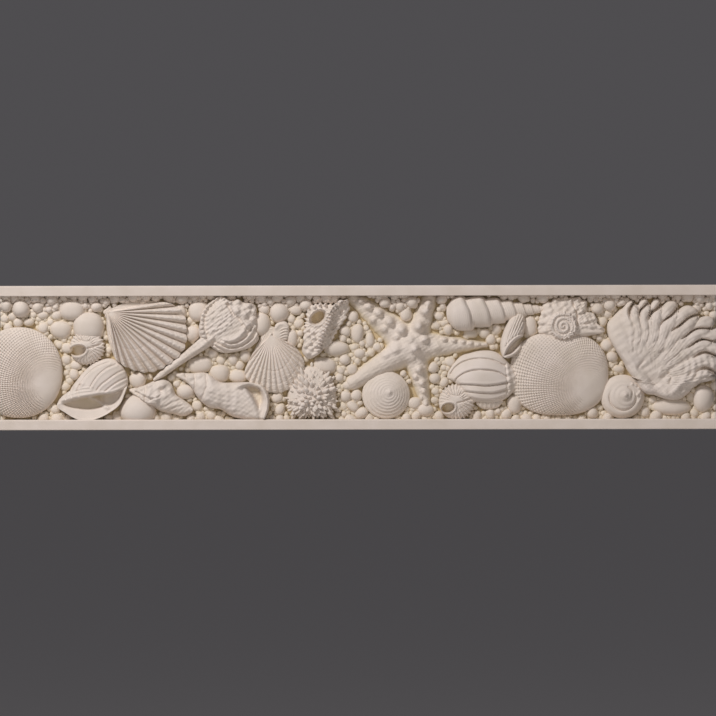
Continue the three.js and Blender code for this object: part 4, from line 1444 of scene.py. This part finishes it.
# %% Giant clam
def clam():
    hinge = (655, 99.5)
    fan_from = (633, 97)
    plain = compass([
        (-180, 18), (-135, 13), (-90, 11), (-61, 16), (-31, 29), (-14, 35), (-4, 40), (3, 52),
        (9, 70), (20, 88), (44, 86), (70, 84), (92, 84), (106, 86), (121, 80), (129, 76), (134, 67),
        (138, 55), (143, 42), (152, 32), (165, 22), (180, 18),
    ])
    fingers = [
        (-4.5, 3), (3.5, 3.8), (11.5, 3.8), (22, 5.6), (33, 5.2), (43.5, 5), (53, 4.5), (62.5, 5),
        (74, 6), (87, 6),
    ]

    folds = [
        ([(640, 84), (652, 78), (664, 66)], 2.6, -1.3),
        ([(662, 92), (676, 80), (690, 72)], 2.8, -1.6),
        ([(682, 104), (690, 96), (697, 88)], 2.2, -1.8),
        ([(672, 106), (684, 96)], 2.8, 1.6),
        ([(668, 88), (671, 93), (669, 98)], 1.4, -1.8),
        ([(637, 84), (640, 79.5), (643.5, 76)], 1.5, -1.5),
    ]

    def finger(x, z):
        """How near each point is to the middle of a finger, from -1 in a furrow to 1."""
        lean = np.degrees(np.arctan2(x - across(fan_from[0]), z - up(fan_from[1])))
        away = np.hypot(x - across(fan_from[0]), z - up(fan_from[1]))
        lean = lean + 2.4 * np.sin(away / 9) + 1.3 * np.sin(away / 5 + lean / 14) - 4 * eased(away, 55, 90)
        best = np.zeros_like(lean)
        for middle, half in fingers:
            best = np.maximum(best, 1 - np.clip(np.abs(lean - middle) / half, 0, 1) ** 2.6)
        in_fan = eased(lean, -11, -4) * eased(100 - lean, 0, 10)
        return (2 * best - 1) * in_fan, away, in_fan

    def reach(angle):
        out = plain(angle)
        x = across(hinge[0]) + out * np.cos(angle)
        z = up(hinge[1]) + out * np.sin(angle)
        near, _, in_fan = finger(x, z)
        return out + (3.4 * near - 1.2 * in_fan) * in_fan

    def rule(share, angle, x, z):
        profile = (0.55 + 1.5 * share) * np.clip(1 - share, 0, 1) ** 0.5
        near, away, in_fan = finger(x, z)
        deep = 0.25 * eased(away, 24, 44) + 0.75 * eased(away, 48, 80)
        rise = 5 + 13 * profile + 1.95 * deep * near
        lean = np.degrees(np.arctan2(x - across(fan_from[0]), z - up(fan_from[1])))
        stria = 0.26 * np.cos(turn * (lean + 2.6 * np.sin(away / 9)) / 2.9)
        stria = stria * eased(away, 22, 40) * in_fan
        torn = eased(-near, 0.1, 0.8) * eased(away, 62, 74) * in_fan
        feather = 0.18 * np.cos(turn * np.degrees(angle) / 6.5 + away / 7)
        feather = feather * eased(share, 0.15, 0.5) * (1 - in_fan)
        ripple_way = np.hypot(x - across(668), z - up(82))
        ripples = 0.6 * np.cos(turn * ripple_way / 6.4)
        ripples = ripples * eased(x, across(676), across(692)) * eased(up(60) - z, 0, 8)
        steps = 0.2 * np.cos(turn * away / 8.5 + 2 * near) * eased(away, 24, 34) * eased(74 - away, 0, 20)
        creases = sum(stroke(x, z, way, width, lift) for way, width, lift in folds)
        creases = creases + bump(x, z, (660, 88), 3.4, 1.6)
        uneven = 0.6 * wobble(x, z, 12, 2) + 0.25 * wobble(x, z, 5, 7)
        grown = rise + stria + feather + ripples + steps
        return np.maximum(grown + creases + uneven - 7 * torn, 2.0)

    piece = dome(hinge, reach, rule, around=170, rings=44, cuts=1)
    saw_ends(piece)
    finish(piece, "giant_clam")
    flatten_cuts(piece)


clam()


# %% [markdown]
# The coral is a lump set with thin blunt fingers. One knobby finger is modelled and copied over the
# lump, each copy a golden turn from the last so that no pattern shows. The copies lean outwards, and
# the further out they stand, the flatter they lie and the longer they are. A rule for heights alone
# could not do this, because the fingers overhang each other.

# %% Coral
def coral():
    centre = (312, 115)
    half_width, upper, lower, lump_rise = 27.0, 38.0, 17.0, 11.5
    select_nothing()
    bpy.ops.mesh.primitive_ico_sphere_add(subdivisions=3, radius=1)
    finger = bpy.context.object
    unit = read_points(finger)
    ux, uy, uz = unit.T
    lumps = 1 + 0.20 * np.sin(5.1 * ux + 1) * np.sin(4.3 * uy) + 0.18 * np.sin(6.5 * uz + 4 * ux)
    girth = lumps * (0.70 + 0.30 * eased(uz, -0.1, 0.7))
    shaped = np.stack([2.4 * ux * girth, 2.2 * uy * girth, 6.2 * uz], axis=1)
    write_points(finger, shaped * mm)
    golden = math.pi * (3 - math.sqrt(5))
    count = 118
    fingers = []
    for i in range(count):
        share = math.sqrt((i + 0.5) / count)
        angle = i * golden
        tall = upper if math.sin(angle) > 0 else lower
        reach = share * (1 + 0.13 * math.sin(7 * i))
        dx = 0.79 * half_width * reach * math.cos(angle)
        dz = 0.80 * tall * reach * math.sin(angle)
        lift = lump_rise * math.sqrt(max(0, 1 - share ** 2)) + 2.5 + 1.4 * math.sin(5 * i)
        lean = Vector((dx / half_width * 2.2, -(0.15 + 0.9 * (1 - share)), dz / tall * 2.6)).normalized()
        x, z = float(across(centre[0])) + dx, float(up(centre[1])) + dz
        copy = finger.copy()
        copy.data = finger.data.copy()
        copy.rotation_euler = lean.to_track_quat("Z", "Y").to_euler()
        size = 0.95 + 0.25 * math.sin(3.3 * i)
        copy.scale = (size, size, size * (0.9 + 0.55 * share))
        copy.location = (x * mm, -(slab_depth + lift) * mm, z * mm)
        bpy.context.collection.objects.link(copy)
        fingers.append(copy)

    def lump_rule(share, angle, x, z):
        return 4 + lump_rise * hump(share) + 1.0 * wobble(x, z, 5, 3)

    def lump_reach(angle):
        tall = np.where(np.sin(angle) > 0, upper, lower)
        return 0.92 * half_width * tall / np.hypot(tall * np.cos(angle), half_width * np.sin(angle))

    lump = dome(centre, lump_reach, lump_rule, around=64, rings=16)
    select_nothing()
    bpy.data.objects.remove(finger)
    for copy in fingers:
        copy.select_set(True)
    bpy.context.view_layer.objects.active = lump
    lump.select_set(True)
    bpy.ops.object.join()
    finish(lump, "coral", crease=60)


coral()


# %% [markdown]
# The large pebbles lie where the photograph shows them. Each is a slightly lumpy ball, a copy of one
# of four different ones, and its back is pressed flat in the slab. What crosses an end of the casting
# is sawn off stone by stone.

# %% Large pebbles
def pebble_mould(subdivisions, seed):
    select_nothing()
    bpy.ops.mesh.primitive_ico_sphere_add(subdivisions=subdivisions, radius=1)
    ball = bpy.context.object
    unit = read_points(ball)
    lumps = 1 + 0.06 * np.sin(2.3 * unit[:, 0] + seed) + 0.05 * np.sin(2.9 * unit[:, 2] - 1.7 * seed)
    squared = np.sign(unit) * np.abs(unit) ** 0.94
    write_points(ball, squared * lumps[:, None])
    return ball


fine_moulds = [pebble_mould(4, seed) for seed in (0.3, 1.9, 3.1, 4.6)]
middle_moulds = [pebble_mould(3, seed) for seed in (0.8, 2.2, 3.9, 5.3)]
small_moulds = [pebble_mould(2, seed) for seed in (1.1, 2.7, 4.2, 5.9)]
large_pebbles = [
    (6, 20, 12, 12), (21, 22, 18, 18), (43, 29, 12, 10), (72, 24, 27, 22), (60, 44, 24, 18),
    (74, 88, 11, 12), (97, 21, 12, 11), (88.5, 41, 32, 31), (137, 94.5, 18, 16), (138, 124, 38, 30),
    (186, 106, 18, 16), (200, 79, 27, 18), (219, 88, 22, 18), (238, 90, 20, 14), (193, 48, 15, 18),
    (199, 25, 22, 22), (264, 24, 12, 10), (262, 38, 20, 24), (280, 27, 19, 22), (296, 24, 13, 11),
    (291, 53, 14, 18), (306, 19, 14, 12), (337, 63, 26, 17), (325, 80, 25, 18), (357, 48, 14, 19),
    (370, 54, 10, 15), (360, 68, 12, 11), (471, 48, 15, 10), (484, 48, 13, 10), (491, 54, 11, 11),
    (497, 44, 10, 12), (530, 41, 15, 22), (514, 119, 16, 19), (598, 23, 14, 12), (619, 84, 12, 9),
    (697, 23, 10, 9), (709, 21, 9, 9), (672, 121, 42, 18), (704, 114, 21, 30), (197, 120, 11, 11),
    (414, 118, 16, 12), (180, 26, 14, 14), (426, 125, 17, 14), (385, 17, 12, 11), (400, 21, 11, 10),
    (8, 41, 10, 9), (29, 36, 11, 9), (67, 62, 12, 11), (66, 74, 11, 10), (76, 79, 13, 10),
    (349, 100, 13, 10), (352, 84, 12, 12),
]


heap_height = 4.5
heap_edge = 30
heap_slope = 14


def lay_pebble(mould, along, down, width, tall, tilt, lift):
    """Lays a stone. Near the upper rail the bed is heaped up, so a stone there reaches further out."""
    heap = heap_height * float(eased(heap_edge - down, 0, heap_slope))
    stone = mould.copy()
    stone.data = mould.data.copy()
    thick = 0.5 * min(width, tall) + heap / 2
    stone.scale = (width / 2 * mm, thick * mm, tall / 2 * mm)
    stone.rotation_euler = (0, tilt, 0)
    depth = slab_depth + lift + heap / 2
    stone.location = (float(across(along)) * mm, -depth * mm, float(up(down)) * mm)
    bpy.context.collection.objects.link(stone)
    return stone


def join_pebbles(stones, name, inset):
    lumpiest = 1.13
    inset_step = 0.03
    for stone in stones:
        reach = abs(stone.location.x) + lumpiest * max(stone.scale.x, stone.scale.z)
        if reach > length / 2 * mm:
            select_only(stone)
            bpy.ops.object.transform_apply(location=True, rotation=True, scale=True)
            saw_ends(stone, inset)
            inset += inset_step
    select_nothing()
    for stone in stones:
        stone.select_set(True)
    bpy.context.view_layer.objects.active = stones[0]
    bpy.ops.object.join()
    layer = bpy.context.object
    bpy.ops.object.transform_apply(location=True, rotation=True, scale=True)
    points = read_points(layer)
    points[:, 1] = np.minimum(points[:, 1], -(slab_depth - root_depth) * mm)
    write_points(layer, points)
    finish(layer, name, crease=60)


large = []
for i, (along, down, width, tall) in enumerate(large_pebbles):
    lift = 1.5 if width < 20 else 0.5
    large.append(lay_pebble(fine_moulds[i % 4], along, down, width, tall, 0.1 * math.sin(5 * i), lift))
join_pebbles(large, "large_pebbles", inset=0.10)


# %% [markdown]
# The gaps are filled as a modeller fills them, big stones first and then smaller and smaller ones.
# A stone stays where it touches no shell and hardly any neighbour. A map of the field with one cell
# a millimetre, marked wherever a finished shell has a point, tells where shells are.

# %% Map of the shells
def shell_map():
    taken = np.zeros((int(height) + 1, int(length) + 1), bool)
    for piece in pieces:
        if piece.name in ("slab_and_rails", "large_pebbles"):
            continue
        points = read_points(piece) / mm
        points = points[points[:, 1] < -slab_depth - 0.5]
        along = np.clip(np.round(points[:, 0] + length / 2), 0, length).astype(int)
        down = np.clip(np.round(height / 2 - points[:, 2]), 0, height).astype(int)
        taken[down, along] = True
    grown = taken.copy()
    grown[1:] |= taken[:-1]
    grown[:-1] |= taken[1:]
    grown[:, 1:] |= taken[:, :-1]
    grown[:, :-1] |= taken[:, 1:]
    return grown


taken = shell_map()
print("shells cover", round(100 * float(taken.mean())), "% of the casting")


# %% [markdown]
# A stone of each size is tried at many places drawn by chance. Blender can scatter copies by itself,
# but a plain scatter would lay them across the shells too. The chances follow a rule of our own, so
# that every run lays the same stones.

# %% Small pebbles
class Chance:
    """Draws numbers between 0 and 1, the same ones each time."""

    factor = 1664525
    addend = 1013904223
    modulus = 2 ** 32

    def __init__(self, seed):
        self.state = seed

    def draw(self, start=0.0, end=1.0):
        self.state = (self.state * self.factor + self.addend) % self.modulus
        return start + (end - start) * self.state / self.modulus


big = np.array(large_pebbles, float)


def is_taken(along, down):
    row = min(max(int(round(down)), 0), int(height))
    column = min(max(int(round(along)), 0), int(length))
    return taken[row, column]


def fill_gaps(chance):
    settled = big.copy()
    closest = 0.43
    girdle = 0.28
    ring = [(girdle * math.cos(turn * k / 8), girdle * math.sin(turn * k / 8)) for k in range(8)]
    laid = []
    sizes = ((12, 900), (10.5, 2000), (9, 4000), (8, 4500), (7, 5000), (6, 5000))
    for size, tries in sizes:
        for _ in range(tries):
            along = chance.draw(0, length)
            down = chance.draw(rail_height - 1, height - rail_height + 1)
            width = size * chance.draw(0.9, 1.2)
            tall = size * chance.draw(0.9, 1.15)
            tilt = chance.draw(0, math.pi)
            if any(is_taken(along + size * rx, down + size * rz) for rx, rz in ring):
                continue
            gap_along = (settled[:, 0] - along) / (settled[:, 2] + size)
            gap_down = (settled[:, 1] - down) / (settled[:, 3] + size)
            if np.hypot(gap_along, gap_down).min() < closest:
                continue
            settled = np.vstack([settled, (along, down, width, tall)])
            laid.append((along, down, width, tall, tilt, chance.draw(1.0, 1.5 + 9 / size)))
    return laid


# %% [markdown]
# Under them all lies one layer of the smallest stones, in close rows that are a little disturbed, so
# that no bare bed shows. A stone that a large pebble would hide is left out.

# %% Lowest layer
def bottom_layer(chance):
    laid = []
    pitch = 5.2
    row_pitch = 0.87 * pitch
    covered = 0.36
    for row in range(int((height - 2 * rail_height) / row_pitch) + 1):
        for column in range(int(length / pitch) + 1):
            along = (column + 0.5 * (row % 2)) * pitch + chance.draw(-1, 1)
            down = rail_height + row * row_pitch + chance.draw(-1, 1)
            away = np.hypot((big[:, 0] - along) / big[:, 2], (big[:, 1] - down) / big[:, 3])
            hidden = away.min() < covered
            size = chance.draw(5.4, 7.4)
            tilt = chance.draw(0, math.pi)
            lift = chance.draw(0.6, 1.8)
            if not hidden and not is_taken(along, down):
                laid.append((along, down, size, size * 0.9, tilt, lift))
    return laid


chance = Chance(7)
upper_stones = fill_gaps(chance)
lower_stones = bottom_layer(chance)
print("small pebbles", len(upper_stones), "over", len(lower_stones))
layers = (
    ("small_pebbles", upper_stones, middle_moulds, 0.11),
    ("bottom_pebbles", lower_stones, small_moulds, 0.12),
)
for name, laid, moulds, inset in layers:
    stones = []
    for i, (along, down, width, tall, tilt, lift) in enumerate(laid):
        stones.append(lay_pebble(moulds[i % 4], along, down, width, tall, tilt, lift))
    join_pebbles(stones, name, inset)
for mould in fine_moulds + middle_moulds + small_moulds:
    bpy.data.objects.remove(mould)
